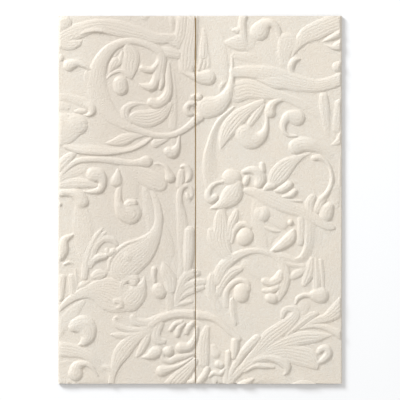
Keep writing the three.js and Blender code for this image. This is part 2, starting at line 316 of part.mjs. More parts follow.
  ['leaf', [[12, -93, 1.6], [18, -85.6, 2], [24, -80.6, 2.2], [30, -77.6, 2.4]]],
  ['fan', [[17, -87, 0.8], [22, -80.6, 1.4], [28, -74.4, 2.4], [33.6, -68.4, 3.9], [38.6, -64.6, 3.8],
           [43.6, -60.8, 3.2], [47, -57, 2.5], [46.6, -54.2, 1.9], [43.8, -53.6, 1.5], [41.4, -54.8, 1.5],
           [40.5, -57.4, 1.2]]],
  ['fan', [[43, -66.4, 1.2], [49, -61.2, 1.7], [53.6, -57.7, 1.9], [57.2, -55.9, 1.2]]],
  ['fan', [[49.6, -63.6, 0.5], [56, -59.9, 1.5], [62, -58.2, 2.3], [66.4, -55.4, 3.5], [71, -51, 4]]],
  ['stem', [[49, -63.7, 0.6], [55, -62.2, 1.1], [61, -62.7, 1.5], [66, -64.8, 1.9], [71, -67.4, 2.3]]],
  ['fan', [[30, -76, 1.4], [37, -72.2, 2.4], [44, -69.6, 3.1], [51, -68, 3.3], [57, -67.6, 2.6], [62, -66.9, 1.3],
           [65.4, -66.7, 0.3]]],
  ['fan', [[26, -79, 1.4], [34, -76.6, 3.2], [41, -75.4, 4.2], [48, -76.6, 4.8], [53.6, -78.2, 4.6],
           [56.6, -81.6, 2.2], [56.4, -83.6, 0.4]]],
  ['bud', [[56.2, -80.9, 0.7], [60.3, -79, 1.6], [63, -76, 2.1], [62.3, -73.2, 1.9], [59.6, -73.5, 1.7],
           [58.4, -75, 1.2]]],
  ['bud', [[26, -79.6, 1.2], [32, -77.6, 1.7], [38, -78.6, 2.3], [42.3, -81.3, 2.4], [42.7, -84.3, 1.4],
           [41.2, -86.4, 0.4]]],
  ['bud', [[22, -84.4, 0.9], [27, -81.8, 1.4], [31.6, -81.8, 1.5], [36.2, -82.4, 0.8]]],
  ['stem', [[13.4, -92, 1], [15.4, -85, 1.4], [18.2, -80, 1.8], [21.6, -75, 2.1], [25.4, -70.8, 2.3],
            [28.2, -68, 2.1]]],
  ['bud', [[18, -92.4, 1.6], [22.6, -90.2, 1.8], [26.2, -88.2, 0.7]]],
  ['leaf', [[44, -93, 2], [51, -91.4, 2.7], [58, -93, 2]]],
];

function solidFrom(geometry) {
  geometry.deleteAttribute('normal');
  geometry.deleteAttribute('uv');
  const welded = mergeVertices(geometry, WELD);
  return new Manifold(new Mesh({
    numProp: 3,
    vertProperties: new Float32Array(welded.attributes.position.array),
    triVerts: new Uint32Array(welded.index.array),
  }));
}

function geometryFrom(solid) {
  const mesh = solid.getMesh();
  const geometry = new THREE.BufferGeometry();
  geometry.setAttribute('position', new THREE.BufferAttribute(mesh.vertProperties, 3));
  geometry.setIndex(new THREE.BufferAttribute(mesh.triVerts, 1));
  geometry.computeVertexNormals();
  return geometry;
}

// The one body of a joined solid. Joining leaves slivers thinner than the weld, and each weld
// may part one more from the body, so it is repeated until the body comes out whole.
function wholeBody(solid) {
  const bodies = solidFrom(geometryFrom(solid)).decompose();
  if (bodies.length === 1) return bodies[0];
  return wholeBody(bodies.reduce((largest, body) => (body.volume() > largest.volume() ? body : largest)));
}

// A section drawn in X and Z, run along Y from the foot to the top
function alongY(shape, length) {
  const geometry = new THREE.ExtrudeGeometry(shape, {
    depth: length,
    bevelEnabled: false,
    curveSegments: FOLD_STEPS,
  });
  geometry.rotateX(Math.PI / 2);
  geometry.translate(0, length / 2, 0);
  return geometry;
}

// Points of a flat loop with half-round sides, between two heights
function loopPoints(halfWidth, low, high) {
  const radius = (high - low) / 2;
  const centre = halfWidth - radius;
  const path = new THREE.Path();
  path.moveTo(-centre, low);
  path.lineTo(centre, low);
  path.absarc(centre, low + radius, radius, -Math.PI / 2, Math.PI / 2, false);
  path.lineTo(-centre, high);
  path.absarc(-centre, low + radius, radius, Math.PI / 2, Math.PI * 1.5, false);
  return path.getPoints(FOLD_STEPS);
}

// The sheet as a closed sleeve, before the two gates are parted
function sleeve() {
  const outline = new THREE.Shape(loopPoints(HALF_WIDTH, 0, SHEET_HEIGHT));
  outline.holes.push(new THREE.Path(loopPoints(HALF_WIDTH - PAPER, PAPER, SHEET_HEIGHT - PAPER)));
  return solidFrom(alongY(outline, FRONT_HEIGHT));
}

// The space that the relief may fill: it ends at the cut edges and dies away over the folds
function reliefSpace() {
  const high = SHEET_HEIGHT + RELIEF_LIMIT;
  const low = SHEET_HEIGHT - PAPER / 2;
  const shape = new THREE.Shape();
  const side = HALF_WIDTH - FOLD_BARE;
  shape.moveTo(-side, low);
  shape.lineTo(side, low);
  shape.absellipse(side - FOLD_FADE, low, FOLD_FADE, high - low, 0, Math.PI / 2, false);
  shape.lineTo(FOLD_FADE - side, high);
  shape.absellipse(FOLD_FADE - side, low, FOLD_FADE, high - low, Math.PI / 2, Math.PI, false);
  return solidFrom(alongY(shape, FRONT_HEIGHT));
}

// The parting between the gates, a little wider at the top than at the foot
function parting() {
  const past = 1;
  const slope = (GAP_AT_TOP - GAP_AT_FOOT) / FRONT_HEIGHT / 2;
  const top = GAP_AT_TOP / 2 + slope * past;
  const foot = GAP_AT_FOOT / 2 - slope * past;
  const reach = HALF_HEIGHT + past;
  const shape = new THREE.Shape([
    new THREE.Vector2(GATE_MEETS_AT - foot, -reach),
    new THREE.Vector2(GATE_MEETS_AT + foot, -reach),
    new THREE.Vector2(GATE_MEETS_AT + top, reach),
    new THREE.Vector2(GATE_MEETS_AT - top, reach),
  ]);
  const low = SHEET_HEIGHT - PAPER - SLACK / 2;
  const geometry = new THREE.ExtrudeGeometry(shape, { depth: PAPER + SLACK + RELIEF_LIMIT, bevelEnabled: false });
  geometry.translate(0, 0, low);
  return solidFrom(geometry);
}

// A stroke's points without those that its neighbours already give, within the tolerance
function mainPoints(rows) {
  const kept = [rows[0]];
  for (let i = 1; i < rows.length - 1; i += 1) {
    const [x0, y0, half0] = kept.at(-1);
    const [x1, y1, half1] = rows[i + 1];
    const [x, y, half] = rows[i];
    const length = Math.hypot(x1 - x0, y1 - y0);
    const offLine = Math.abs((x1 - x0) * (y - y0) - (y1 - y0) * (x - x0)) / length;
    const share = Math.hypot(x - x0, y - y0) / length;
    const offWidth = Math.abs(half0 + (half1 - half0) * share - half);
    if (offLine + offWidth > TOLERANCE) kept.push(rows[i]);
  }
  if (rows.length > 1) kept.push(rows.at(-1));
  return kept;
}

// One station of a stroke: its place, its direction and the height of its crown
function stationsOf(kind, rows) {
  const points = rows.map(([x, y]) => new THREE.Vector2(x, y));
  return rows.map(([, , half, lift = 1], i) => {
    const before = points[Math.max(i - 1, 0)];
    const after = points[Math.min(i + 1, rows.length - 1)];
    const along = after.clone().sub(before);
    if (along.lengthSq() === 0) along.set(1, 0);
    const width = Math.max(half, SLIM);
    const fullness = Math.min(1, width / FULL_HALF_WIDTH) ** FULLNESS_POWER;
    return {
      point: points[i],
      along: along.normalize(),
      half: width,
      height: KINDS[kind].height * fullness * Math.max(lift, TIP),
    };
  });
}

// A stroke's section at one station, across its direction. Its points lie exactly in one upright
// plane, because each is a whole number of equal steps on the grid, so that the two pieces of a
// stroke that share a section meet without slivers.
function sectionAt(station, shoulders) {
  const { point, along, half, height } = station;
  const [x, y] = [point.x, point.y].map(onGrid);
  const [stepX, stepY] = [-along.y, along.x].map((share) => onGrid((share * half) / SECTION_STEPS));
  const at = (across, forward, z) => new THREE.Vector3(
    x + stepX * Math.round(across * SECTION_STEPS) + onGrid(along.x * forward * half),
    y + stepY * Math.round(across * SECTION_STEPS) + onGrid(along.y * forward * half),
    SHEET_HEIGHT + z,
  );
  const ridge = half < NARROW ? [[0, 1]] : shoulders;
  return {
    at,
    points: [
      at(-1, 0, -SINK),
      ...ridge.map(([across, up]) => at(across, 0, up * height)),
      at(1, 0, -SINK),
    ],
  };
}

function onGrid(value) {
  return Math.round(value / GRID) * GRID;
}

// The round end of a stroke, past its first or last station
function endPoints(station, shoulders, sense) {
  const { at } = sectionAt(station, shoulders);
  const { half, height } = station;
  if (half < NARROW) return [at(0, sense, -SINK)];
  return [
    at(-Math.SQRT1_2, sense * Math.SQRT1_2, -SINK),
    at(0, sense, -SINK),
    at(Math.SQRT1_2, sense * Math.SQRT1_2, -SINK),
    at(0, sense * END_BULGE.reach, height * END_BULGE.height),
  ];
}

// A stroke is a chain of convex pieces, each from one station to the next
function strokeSolids([kind, rows]) {
  const { shoulders } = KINDS[kind];
  const stations = stationsOf(kind, mainPoints(rows));
  const last = stations.length - 1;
  if (last === 0) {
    const only = stations[0];
    return [hull([
      ...sectionAt(only, shoulders).points,
      ...endPoints(only, shoulders, 1),
      ...endPoints(only, shoulders, -1),
    ])];
  }
  return stations.slice(1).map((station, i) => hull([
    ...sectionAt(stations[i], shoulders).points,
    ...sectionAt(station, shoulders).points,
    ...(i === 0 ? endPoints(stations[0], shoulders, -1) : []),
    ...(i + 1 === last ? endPoints(station, shoulders, 1) : []),
  ]));
}

function hull(points) {
  return solidFrom(new ConvexGeometry(points));
}

function embossedSheet() {
  const relief = Manifold.union(PATTERN.flatMap(strokeSolids)).intersect(reliefSpace());
  return wholeBody(sleeve().add(relief).subtract(parting()));
}

function innerCard() {
  const width = FRONT_WIDTH - 2 * CARD_MARGIN_SIDE;
  const height = FRONT_HEIGHT - 2 * CARD_MARGIN_END;
  const geometry = new THREE.BoxGeometry(width, height, CARD_THICKNESS);
  geometry.translate(0, 0, PAPER + SLACK + CARD_THICKNESS / 2);
  return geometry;
}

const ivoryStock = new THREE.MeshStandardMaterial({ color: 0xe6ddcd, roughness: 0.62, metalness: 0 });
const goldFace = new THREE.MeshStandardMaterial({ color: 0xb39355, roughness: 0.4, metalness: 0.5 });

const sheet = new THREE.Mesh(geometryFrom(embossedSheet()), ivoryStock);
sheet.name = 'embossed_gatefold';
const card = new THREE.Mesh(innerCard(), goldFace);
card.name = 'inner_card';

const invitation = new THREE.Group();
invitation.add(sheet, card);
export default invitation;
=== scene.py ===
"""A closed gate-fold invitation, embossed with scrolls and leaves, lying on its back on a pale floor."""
import math

import bmesh
import bpy
import numpy as np
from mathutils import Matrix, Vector


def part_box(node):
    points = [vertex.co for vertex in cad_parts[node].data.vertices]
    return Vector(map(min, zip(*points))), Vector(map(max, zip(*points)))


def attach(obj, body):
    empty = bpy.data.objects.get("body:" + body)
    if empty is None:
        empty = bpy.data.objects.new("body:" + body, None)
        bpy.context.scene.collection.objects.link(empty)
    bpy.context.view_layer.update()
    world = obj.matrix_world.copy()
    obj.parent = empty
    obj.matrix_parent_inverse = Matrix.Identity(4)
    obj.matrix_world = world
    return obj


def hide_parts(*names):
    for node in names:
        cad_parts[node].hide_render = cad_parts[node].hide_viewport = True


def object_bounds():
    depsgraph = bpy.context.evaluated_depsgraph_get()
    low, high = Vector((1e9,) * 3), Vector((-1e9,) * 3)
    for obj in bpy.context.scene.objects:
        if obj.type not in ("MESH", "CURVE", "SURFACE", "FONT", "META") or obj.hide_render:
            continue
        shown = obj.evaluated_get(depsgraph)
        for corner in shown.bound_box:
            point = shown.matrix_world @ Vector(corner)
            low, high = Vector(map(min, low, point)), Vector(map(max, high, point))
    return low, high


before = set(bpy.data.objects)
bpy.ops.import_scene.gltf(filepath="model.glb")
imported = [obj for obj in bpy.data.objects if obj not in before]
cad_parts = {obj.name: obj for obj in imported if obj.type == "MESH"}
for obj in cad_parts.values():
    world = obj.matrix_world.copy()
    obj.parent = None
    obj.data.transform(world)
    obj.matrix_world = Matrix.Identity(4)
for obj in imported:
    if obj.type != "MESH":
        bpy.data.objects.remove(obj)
cad_low, cad_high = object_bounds()

# The camera looks straight down on the front. The photograph takes in 196.6 mm each way, with
# the middle of the front a fifth of a millimetre above the middle of the picture.
PHOTO_SPAN = 0.1966
CAMERA_DISTANCE = 1.1
CAMERA_DROP = 0.0001
SENSOR_WIDTH = 36.0

camera = bpy.data.objects.new("camera", bpy.data.cameras.new("camera"))
camera.data.sensor_width = SENSOR_WIDTH
camera.data.lens = SENSOR_WIDTH * CAMERA_DISTANCE / PHOTO_SPAN
camera.location = (0.0, -CAMERA_DROP, cad_high[2] + CAMERA_DISTANCE)
bpy.context.collection.objects.link(camera)
bpy.context.scene.camera = camera

# Embossed gatefold: one sheet of ivory card, creased at both sides, so that it is the back panel
# and the two gates. A die raises scrolls, leaves and buds on the gates before the sheet is creased
# and cut. Their hollows face inwards, where nothing shows them, so the inner side is left flat.
MM = 0.001
PAPER = 0.4
SLACK = 0.3
GATE_MEETS_AT = -2.2
GAP_AT_TOP = 0.65
GAP_AT_FOOT = 0.35
GATE_COLUMNS = 218
FOLD_COLUMNS = 10
FOLD_CREASE = 0.6
BACK_COLUMNS = 14
CELL = 0.32
DECIMALS = 4
FOLD_BARE = 0.3
RELIEF_FADE = 1.8
RELIEF_LIMIT = 1.2
SHEET_TRIANGLES = 195000
SHARP_ANGLE = math.radians(72)

sheet_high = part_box("embossed_gatefold")[1] / MM
card_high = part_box("inner_card")[1] / MM
half_width = sheet_high.x
half_height = sheet_high.y
front_level = card_high.z + SLACK + PAPER
fold_radius = front_level / 2

# How a kind of stroke stands up from the ground of the sheet: the step at its edge and the rise of
# its crown in millimetres, how full its left and right flanks are, and how deep its veins are cut
KINDS = {
    "stem": dict(step=0.18, rise=0.62, left=0.6, right=0.6, veins=0.07),
    "branch": dict(step=0.18, rise=0.50, left=0.5, right=0.5, veins=0.10),
    "leaf": dict(step=0.20, rise=0.40, left=0.45, right=0.45, veins=0.10),
    "fan": dict(step=0.20, rise=0.40, left=0.4, right=0.4, veins=0.15),
    "horn": dict(step=0.18, rise=0.62, left=0.6, right=0.6, veins=0.09),
    "pod": dict(step=0.20, rise=0.85, left=0.7, right=0.7, veins=0.10),
    "pillow": dict(step=0.20, rise=0.50, left=0.6, right=0.6, veins=0.07),
    "bud": dict(step=0.22, rise=0.85, left=0.75, right=0.75, veins=0.09),
    "ball": dict(step=0.22, rise=0.98, left=0.85, right=0.85, veins=0.00),
    "low": dict(step=0.08, rise=0.20, left=0.6, right=0.6, veins=0.03),
    "left": dict(step=0.20, rise=0.50, left=0.35, right=1.3, veins=0.09),
    "right": dict(step=0.20, rise=0.50, left=1.3, right=0.35, veins=0.09),
    "slope": dict(step=0.00, rise=0.25, left=0.35, right=1.3, veins=0.03),
    "ledge": dict(step=0.45, rise=0.50, left=1.3, right=0.35, veins=0.00),
    "nick": dict(step=0.00, rise=-0.35, left=0.7, right=0.7, veins=0.00),
}
STEP_RUN = 0.55
STEP_FULL_AT = 1.2
RISE_FULL_AT = 2.4
RISE_POWER = 0.8
SLIM = 0.12
LIFT_LIMIT = 1.5
CURVE_STEPS = 8
VEIN_PITCH = 1.6
VEIN_POWER = 3
VEIN_STARTS_AT = 0.25
VEIN_GROWS_OVER = 0.35

# The pattern, one row for each stroke: its kind, and its points along the middle as [x, y, half
# width, share of the height] in millimetres, where the last is 1 if it is left out
PATTERN = [
    # Swoosh leaf along the top of the left gate, with its lobes at the left fold
    ["leaf", [[-72, 77, 3], [-66, 80.6, 3.6], [-60, 83, 3.9], [-50, 85.8, 3.3], [-40, 84.3, 4.1],
              [-30, 82, 3.2], [-22, 79.5, 2.9], [-15.5, 79.4, 2.5], [-12.6, 79.9, 1.6]]],
    ["bud", [[-71, 82, 2.4, 0.4], [-68.6, 85.6, 3.2, 0.6], [-66.5, 87, 3.6, 0.8]]],
    ["leaf", [[-71, 78.4, 2.6], [-65, 76.3, 2.9], [-60.6, 76.8, 2], [-58.2, 78, 0.5]]],
    ["bud", [[-71, 69.6, 1.9, 0.6], [-68.6, 69.9, 1.8, 0.6]]],
    ["bud", [[-53.6, 64, 0.7], [-57, 66, 1.4], [-60.6, 67.3, 1.9], [-64.4, 66.1, 3]]],
    ["low", [[-27.2, 90.4, 2.2]]],
    ["low", [[-14, 93, 1.5], [-14, 87, 1.4], [-13.6, 83.6, 0.8]]],
    ["ledge", [[-62, 79.7, 0.3, 0.8], [-58.6, 82, 1.2], [-53.4, 84, 1.9], [-48, 84, 2],
               [-43.6, 81.8, 1, 0.8]]],
    # Great ring of the left gate
    ["stem", [[-18.6, 70.5, 2.4, 0.8], [-20.6, 73.4, 2.2], [-24.6, 75.8, 2], [-29, 77.3, 1.8],
              [-34, 78.1, 1.8], [-39.2, 77, 2.1], [-44.4, 73.9, 2.9], [-48.4, 68.6, 3.7],
              [-50.6, 62, 4.4, 0.75], [-50.6, 55, 5, 0.5], [-48.4, 48, 4.8, 0.4],
              [-43.8, 41.6, 3.8, 0.5], [-38, 37.3, 2.6, 0.75], [-32, 34.6, 1.9], [-26, 32.5, 1.6],
              [-20, 31.4, 1.5], [-14, 31.7, 1.5], [-8.5, 34, 1.6], [-3.5, 37.8, 1.9], [0, 41, 2.4]]],
    ["leaf", [[-54.8, 64, 1, 0.5], [-55.4, 61, 1.9, 0.6], [-54.6, 57, 1.8, 0.3]]],
    # Leaves and buds inside the great ring
    ["leaf", [[-44.6, 62.6, 0.4], [-43, 65.8, 1.9], [-41.6, 68.2, 1.9]]],
    ["leaf", [[-42, 70.8, 0.4, 0.6], [-40.6, 72.6, 0.9, 0.6], [-39.4, 74, 0.7, 0.6]]],
    ["leaf", [[-35.4, 75.2, 2.2], [-33.6, 71, 3.8], [-34.4, 66.5, 4.2], [-34.4, 62.4, 2.6],
              [-34, 60.4, 1.2]]],
    ["leaf", [[-38.4, 72.6, 0.8], [-39.2, 68.6, 1.5], [-41.4, 65.4, 1.1]]],
    ["stem", [[-46.4, 59, 0.3], [-43.8, 61.7, 0.8], [-40.3, 63.4, 1], [-37.6, 62.9, 1.2],
              [-36.2, 61, 1]]],
    ["bud", [[-39.2, 57.3, 3.6], [-38.9, 54.9, 3.7]]],
    ["stem", [[-19.6, 73, 2], [-18.8, 69, 2.6], [-19.6, 65, 3], [-20.5, 61, 2.8], [-22, 58.5, 2]]],
    ["bud", [[-20.6, 67, 1.6], [-23, 64.2, 1.8], [-26, 63.9, 1.8], [-28.2, 64.7, 1.7]]],
    ["bud", [[-21, 61, 1.6, 0.6], [-23.2, 56, 2.4], [-26.3, 55.7, 1.8], [-29.8, 56.8, 0.5]]],
    ["bud", [[-18.5, 61.5, 1.4], [-18.7, 57.5, 1.5], [-19.5, 54.6, 0.9]]],
    ["bud", [[-15.4, 67, 1, 0.5], [-15.4, 60, 1.8, 0.8], [-15.3, 54, 2.2], [-17, 49.8, 2.7],
             [-20.8, 47.2, 2.8], [-23.8, 48, 2.3]]],
    ["leaf", [[-25.6, 46.9, 0.5], [-30, 47.3, 0.9], [-34, 46.5, 1.6], [-36.7, 44, 2.2],
              [-36.3, 40.5, 1.9], [-34, 38.2, 1]]],
    ["fan", [[-14.5, 47, 1.4], [-19, 42.3, 3.4], [-25, 40, 4.4], [-30.5, 40.2, 3.6],
             [-33.5, 40.8, 1.6]]],
    ["low", [[-13.3, 64, 0.8], [-12.9, 54, 1.6], [-13, 45, 2], [-13.4, 36, 2]]],
    ["bud", [[-32.6, 38.2, 0.6], [-31, 37.6, 0.8]]],
    # Scoop leaf and stem beside the gate's free edge
    ["leaf", [[-8.2, 93, 2.8], [-8.9, 85, 2.9], [-9.6, 80.5, 3.2], [-11.4, 77.4, 2.4],
              [-15.8, 77.4, 0.6]]],
    ["leaf", [[-9.2, 79, 2], [-10.4, 75.6, 1.5]]],
    ["leaf", [[-3.5, 93, 3], [-4.3, 82, 3.5], [-5.6, 75, 4.2], [-6, 69, 4.3], [-6.6, 64.9, 3.7]]],
    ["leaf", [[-21, 73.6, 1.6, 0.4], [-15.5, 72.5, 2.6], [-10.8, 71.3, 2.1]]],
    ["bud", [[-8.5, 62.6, 0.5], [-5, 61.4, 1.5], [-1.8, 60.4, 2.4], [1.4, 59.9, 3.3], [4, 60.1, 3.9]]],
    ["bud", [[-2.6, 47.2, 1.3], [-5, 47.2, 1.4], [-6.7, 45.2, 1.6], [-5.9, 42.7, 1.6],
             [-4.2, 42.2, 1.2]]],
    ["bud", [[-3.4, 50.7, 1.3], [-0.6, 50.6, 2]]],
    # Curls and big bud at the left fold
    ["low", [[-72, 50.5, 1.5], [-66, 50.6, 2], [-60.6, 49, 2.4], [-55.5, 47, 2.4]]],
    ["bud", [[-57, 47.4, 1.6, 0.4], [-53.8, 46, 2.1, 0.8], [-53, 43.4, 1.8], [-55, 41.6, 1],
             [-56.8, 41.8, 0.4]]],
    ["leaf", [[-62, 43.4, 0.5], [-59, 43.6, 1.4], [-56.4, 43.7, 1]]],
    ["low", [[-71, 46.3, 2], [-67.6, 46.3, 2], [-65.5, 45.6, 1.8]]],
    ["pillow", [[-71, 33.8, 7.8], [-67.5, 34.8, 7.9], [-64, 36, 6.6]]],
    ["bud", [[-62, 37.4, 5, 0.9], [-60.2, 36.8, 5.1, 0.9]]],
    ["nick", [[-57.4, 37.2, 0.7], [-55.4, 37.3, 0.8]]],
    # Pod and leaf that hang from the great ring
    ["bud", [[-15.5, 23.7, 2.4], [-13.5, 23, 2.9], [-11.9, 24.6, 2.2], [-10.8, 27, 1.3],
             [-10.2, 31, 0.7]]],
    ["leaf", [[-14.8, 30.6, 0.7], [-18.4, 28.9, 1.4], [-22, 27.6, 2.1]]],
    ["low", [[-13, 29.8, 1.4], [-12.8, 27, 1.6]]],
    # Crescent stems under the great ring
    ["leaf", [[-46.8, 27.8, 0.3], [-42.5, 28.2, 1.7], [-37.5, 29.5, 2.9], [-32.5, 31.1, 1.8],
              [-28, 31.8, 1]]],
    ["low", [[-43.4, 36.7, 0.5], [-39, 34.6, 1], [-34, 32.9, 1], [-29, 31.6, 0.8]]],
    ["right", [[-66, 26.5, 1.4], [-60, 25.2, 2.4], [-52, 24.7, 2.8], [-45, 24.2, 2.4],
               [-38.5, 24.2, 1.5], [-33, 25.4, 1.4], [-28, 27.9, 1.4], [-24.3, 30.4, 1]]],
    ["stem", [[-71, 9, 1], [-65.6, 15.2, 1.3], [-60.4, 18.9, 1.5], [-54, 19.8, 1.5], [-47, 19.6, 1.6],
              [-40, 18.7, 1.8], [-34, 18, 1.6], [-29.6, 18.3, 2], [-26.2, 18.9, 2.9]]],
    ["leaf", [[-71, 14, 2], [-67, 18.4, 2.6], [-63.3, 21.8, 1.8], [-60.6, 23, 0.5]]],
    ["leaf", [[-70, 9, 1.4], [-63.5, 13.2, 2.6, 0.5], [-57.5, 15.4, 2.2, 0.3]]],
    ["leaf", [[-71, 6.8, 1.6], [-63, 8, 2.6], [-56, 8, 2.2], [-51.3, 7, 1.3]]],
    ["bud", [[-57.2, 4.1, 0.5], [-53, 3.9, 1.2], [-49.2, 5.1, 1.9], [-47.8, 8.8, 2.1], [-49.5, 12, 3.3],
             [-52.3, 12.3, 3.8]]],
    ["bud", [[-71, 3.2, 1.8], [-64.2, 3.5, 2.1], [-60, 2, 3.2], [-58.1, -0.8, 3.5]]],
    ["bud", [[-70.5, -1.4, 1.4], [-69, -2.2, 1.2]]],
    ["bud", [[-40.4, 14.8, 0.7], [-40.5, 11.8, 2], [-40.9, 9.2, 3.1]]],
    # Broad leaf and pouch hanging from the crescent stem
    ["leaf", [[-37, 16, 2.6, 0.5], [-30, 12.8, 3.8, 0.7], [-23.5, 9.6, 4.6], [-19.8, 7.8, 3.8]]],
    ["bud", [[-22.2, 17.7, 0.6], [-19.6, 17.6, 0.7], [-16.8, 15.8, 1.2], [-15.2, 12.6, 2],
             [-14.6, 10.8, 2.6]]],
    ["low", [[-36, 15, 3], [-35, 9, 4.6], [-34.6, 3, 4.4]]],
    ["bud", [[-38.2, 8.5, 1, 0.5], [-39.9, 4, 1.7, 0.7], [-39.9, -2, 2.2], [-37.6, -6, 4],
             [-34.3, -6.6, 5.6]]],
    ["bud", [[-37.6, -3.3, 1], [-34.6, -1.8, 2.2], [-32.6, -1.6, 2]]],
    ["nick", [[-36.2, -1.9, 0.3], [-34.6, -1.6, 0.5], [-33.2, -2, 0.3]]],
    ["nick", [[-37, -6.3, 0.3], [-34, -7, 0.4], [-31, -5.6, 0.3]]],
    # Strap, lip and striped horn in the middle of the left gate
    ["low", [[-27, 5, 1.6], [-25.4, -4, 2.7], [-24.3, -11, 2.3], [-25.2, -17, 0.8]]],
    ["horn", [[-23, 4, 1.4, 0.3], [-20.6, -5, 2, 0.7], [-20.6, -13, 2.5], [-23.6, -20, 4],
              [-28.6, -25.8, 6.2], [-35, -30.6, 7.6], [-38, -34, 6.8]]],
    ["stem", [[-22.4, -1, 0.4], [-21, -8, 0.9], [-22, -13, 1.1], [-25, -17.2, 1.2], [-30, -19.7, 1.1],
              [-36, -21.6, 1.1], [-40.3, -24.8, 1.2], [-44, -29.3, 1.2], [-45, -34, 0.9]]],
    ["bud", [[-36.3, -26, 1.4], [-35.3, -28.2, 3]]],
    ["low", [[-18.8, -10.6, 0.4], [-17.6, -16, 2.8], [-16, -22, 3.2], [-14, -27, 1.4]]],
    # Leaves along the left fold below the middle
    ["low", [[-58.6, -4, 3], [-58, -11, 5], [-57.4, -18, 5], [-57, -28, 3]]],
    ["bud", [[-62.6, -17.2, 0.8], [-66.6, -19.8, 2], [-67.4, -24.5, 2.9], [-68.6, -27.3, 2.7]]],
    ["bud", [[-66.9, -31.8, 0.7], [-64.6, -30.8, 0.9], [-62.6, -31.3, 0.4]]],
    ["leaf", [[-69, -48, 2], [-68.2, -42, 2], [-67.6, -38.4, 1.8]]],
    ["leaf", [[-62.6, -46, 1.5], [-63, -41, 1.7], [-63.2, -37.8, 1.6]]],
    ["leaf", [[-60.6, -44, 0.7], [-61, -39, 0.9], [-61.2, -34, 0.5]]],
    # Acanthus leaf left of the horn
    ["leaf", [[-57, -38, 1.7], [-55.6, -29, 2], [-53.2, -22, 1.6], [-50.6, -17.4, 1.3],
              [-47.6, -13.6, 0.4]]],
    ["leaf", [[-54.6, -32, 1.6], [-51.6, -23.4, 1.9], [-47.3, -19.4, 1.7], [-43.2, -19.8, 1.6],
              [-41, -22, 1]]],
    ["bud", [[-53.8, -33, 1.1, 0.6], [-52.6, -30.2, 1.8, 0.8], [-50, -28.4, 2], [-47, -27.9, 1.6],
             [-45.4, -26.8, 1]]],
    ["leaf", [[-50, -19, 0.9], [-47.6, -17, 1], [-45.7, -15.5, 0.3]]],
    ["bud", [[-45.9, -24.8, 1.2], [-44.6, -26.6, 1.6], [-42.6, -25.4, 1.8]]],
    ["leaf", [[-52, -37.6, 1.8], [-49.6, -36.7, 2.6], [-47.3, -36.4, 1.7]]],
    ["leaf", [[-60, -43.4, 0.7], [-57.5, -41.6, 1.5], [-54.4, -40.2, 0.5]]],
    # Branch and cup at the lower left
    ["leaf", [[-71, -55.6, 0.9], [-65, -50, 1.7], [-60, -46.9, 2.3], [-54, -45, 3.7], [-48, -45.2, 6.3],
              [-43, -46.9, 8.5], [-38, -48.6, 6.8]]],
    ["horn", [[-27.3, -37.9, 0.4], [-28.3, -42, 2], [-31.4, -46.6, 5], [-34.4, -49.6, 5.6]]],
    ["stem", [[-40, -49.5, 0.6], [-39.6, -45, 1.1], [-38, -41, 1.6], [-35.3, -38.8, 2.1],
              [-32.2, -39.1, 2.4]]],
    ["bud", [[-33.6, -40, 1.8], [-32.4, -41, 2.1]]],
    ["bud", [[-44.4, -53.8, 0.6], [-41.4, -53.5, 1.1], [-38.8, -52, 1.9], [-39.4, -50, 2.3],
             [-41.6, -49.8, 2]]],
    ["low", [[-57.6, -50.5, 1.4], [-62, -54.8, 2.9], [-66.5, -60, 3.4], [-71, -66, 3]]],
    # Comma bud, band and curl in the lower left corner
    ["bud", [[-60, -71.6, 0.4], [-57, -70, 2], [-55, -66.6, 3.7], [-56.4, -62, 5], [-60.4, -61.6, 3.8],
             [-62.2, -62.6, 2.7]]],
    ["leaf", [[-71, -73.4, 3.8], [-64, -74, 3.6], [-58, -75.6, 2.7], [-53, -78.6, 2.3, 0.8],
              [-48.6, -83, 2, 0.3]]],
    ["low", [[-68, -80.4, 0.8], [-65, -79.6, 0.9], [-62.6, -79.8, 0.4]]],
    ["bud", [[-50.4, -86.4, 0.6], [-53.4, -82.2, 1.2], [-57, -80.6, 1.6], [-60.6, -82.2, 2.7],
             [-61.3, -85.5, 3.7]]],
    ["low", [[-72, -86, 2.4], [-68, -88.6, 2.2], [-63, -91.6, 2]]],
    ["leaf", [[-49.2, -82.4, 1.1, 0.6], [-44.8, -83, 1.6], [-43.6, -87, 1]]],
    # Leaf spray at the foot of the left gate
    ["leaf", [[-23.6, -63.6, 1.6], [-29, -66.4, 2.2], [-34, -70, 3.5], [-38.3, -75, 4], [-41, -80, 2.8],
              [-43, -86, 1.8], [-44, -93, 1.6]]],
    ["leaf", [[-33, -57.8, 1.7], [-31.2, -60, 2.1], [-26, -60.5, 2], [-21, -58.6, 2.1],
              [-17, -57.3, 2]]],
    ["leaf", [[-39.3, -58.3, 0.5], [-41.2, -57.8, 1], [-42, -60, 1.4], [-39.5, -62.4, 1.7],
              [-35, -64, 1.5], [-29, -64, 1.5], [-24, -62, 1.6]]],
    ["leaf", [[-43.4, -66.4, 0.8], [-40, -66.7, 1.6], [-35, -66.6, 1.3], [-30, -65.4, 1.2]]],
    ["stem", [[-24, -61.4, 2.2], [-19, -58.2, 2.2], [-14, -56.7, 2.2], [-8, -56.1, 2.1],
              [-2, -56.6, 2.3], [3, -57.2, 2.1], [7, -58.5, 1.8], [10.5, -60.9, 1.7],
              [14.5, -64.6, 1.6], [19, -68.4, 1.5]]],
    ["low", [[-19.4, -54.6, 0.9], [-16, -57, 1.6], [-12.4, -58.6, 1]]],
    ["leaf", [[-19.6, -61, 2], [-21.6, -65.4, 2.4], [-21, -68.9, 2.3], [-17.8, -69.8, 1.4]]],
    ["leaf", [[-24.6, -65, 1.4], [-26.8, -69.6, 2], [-29, -74, 1.8], [-31.1, -77, 0.8]]],
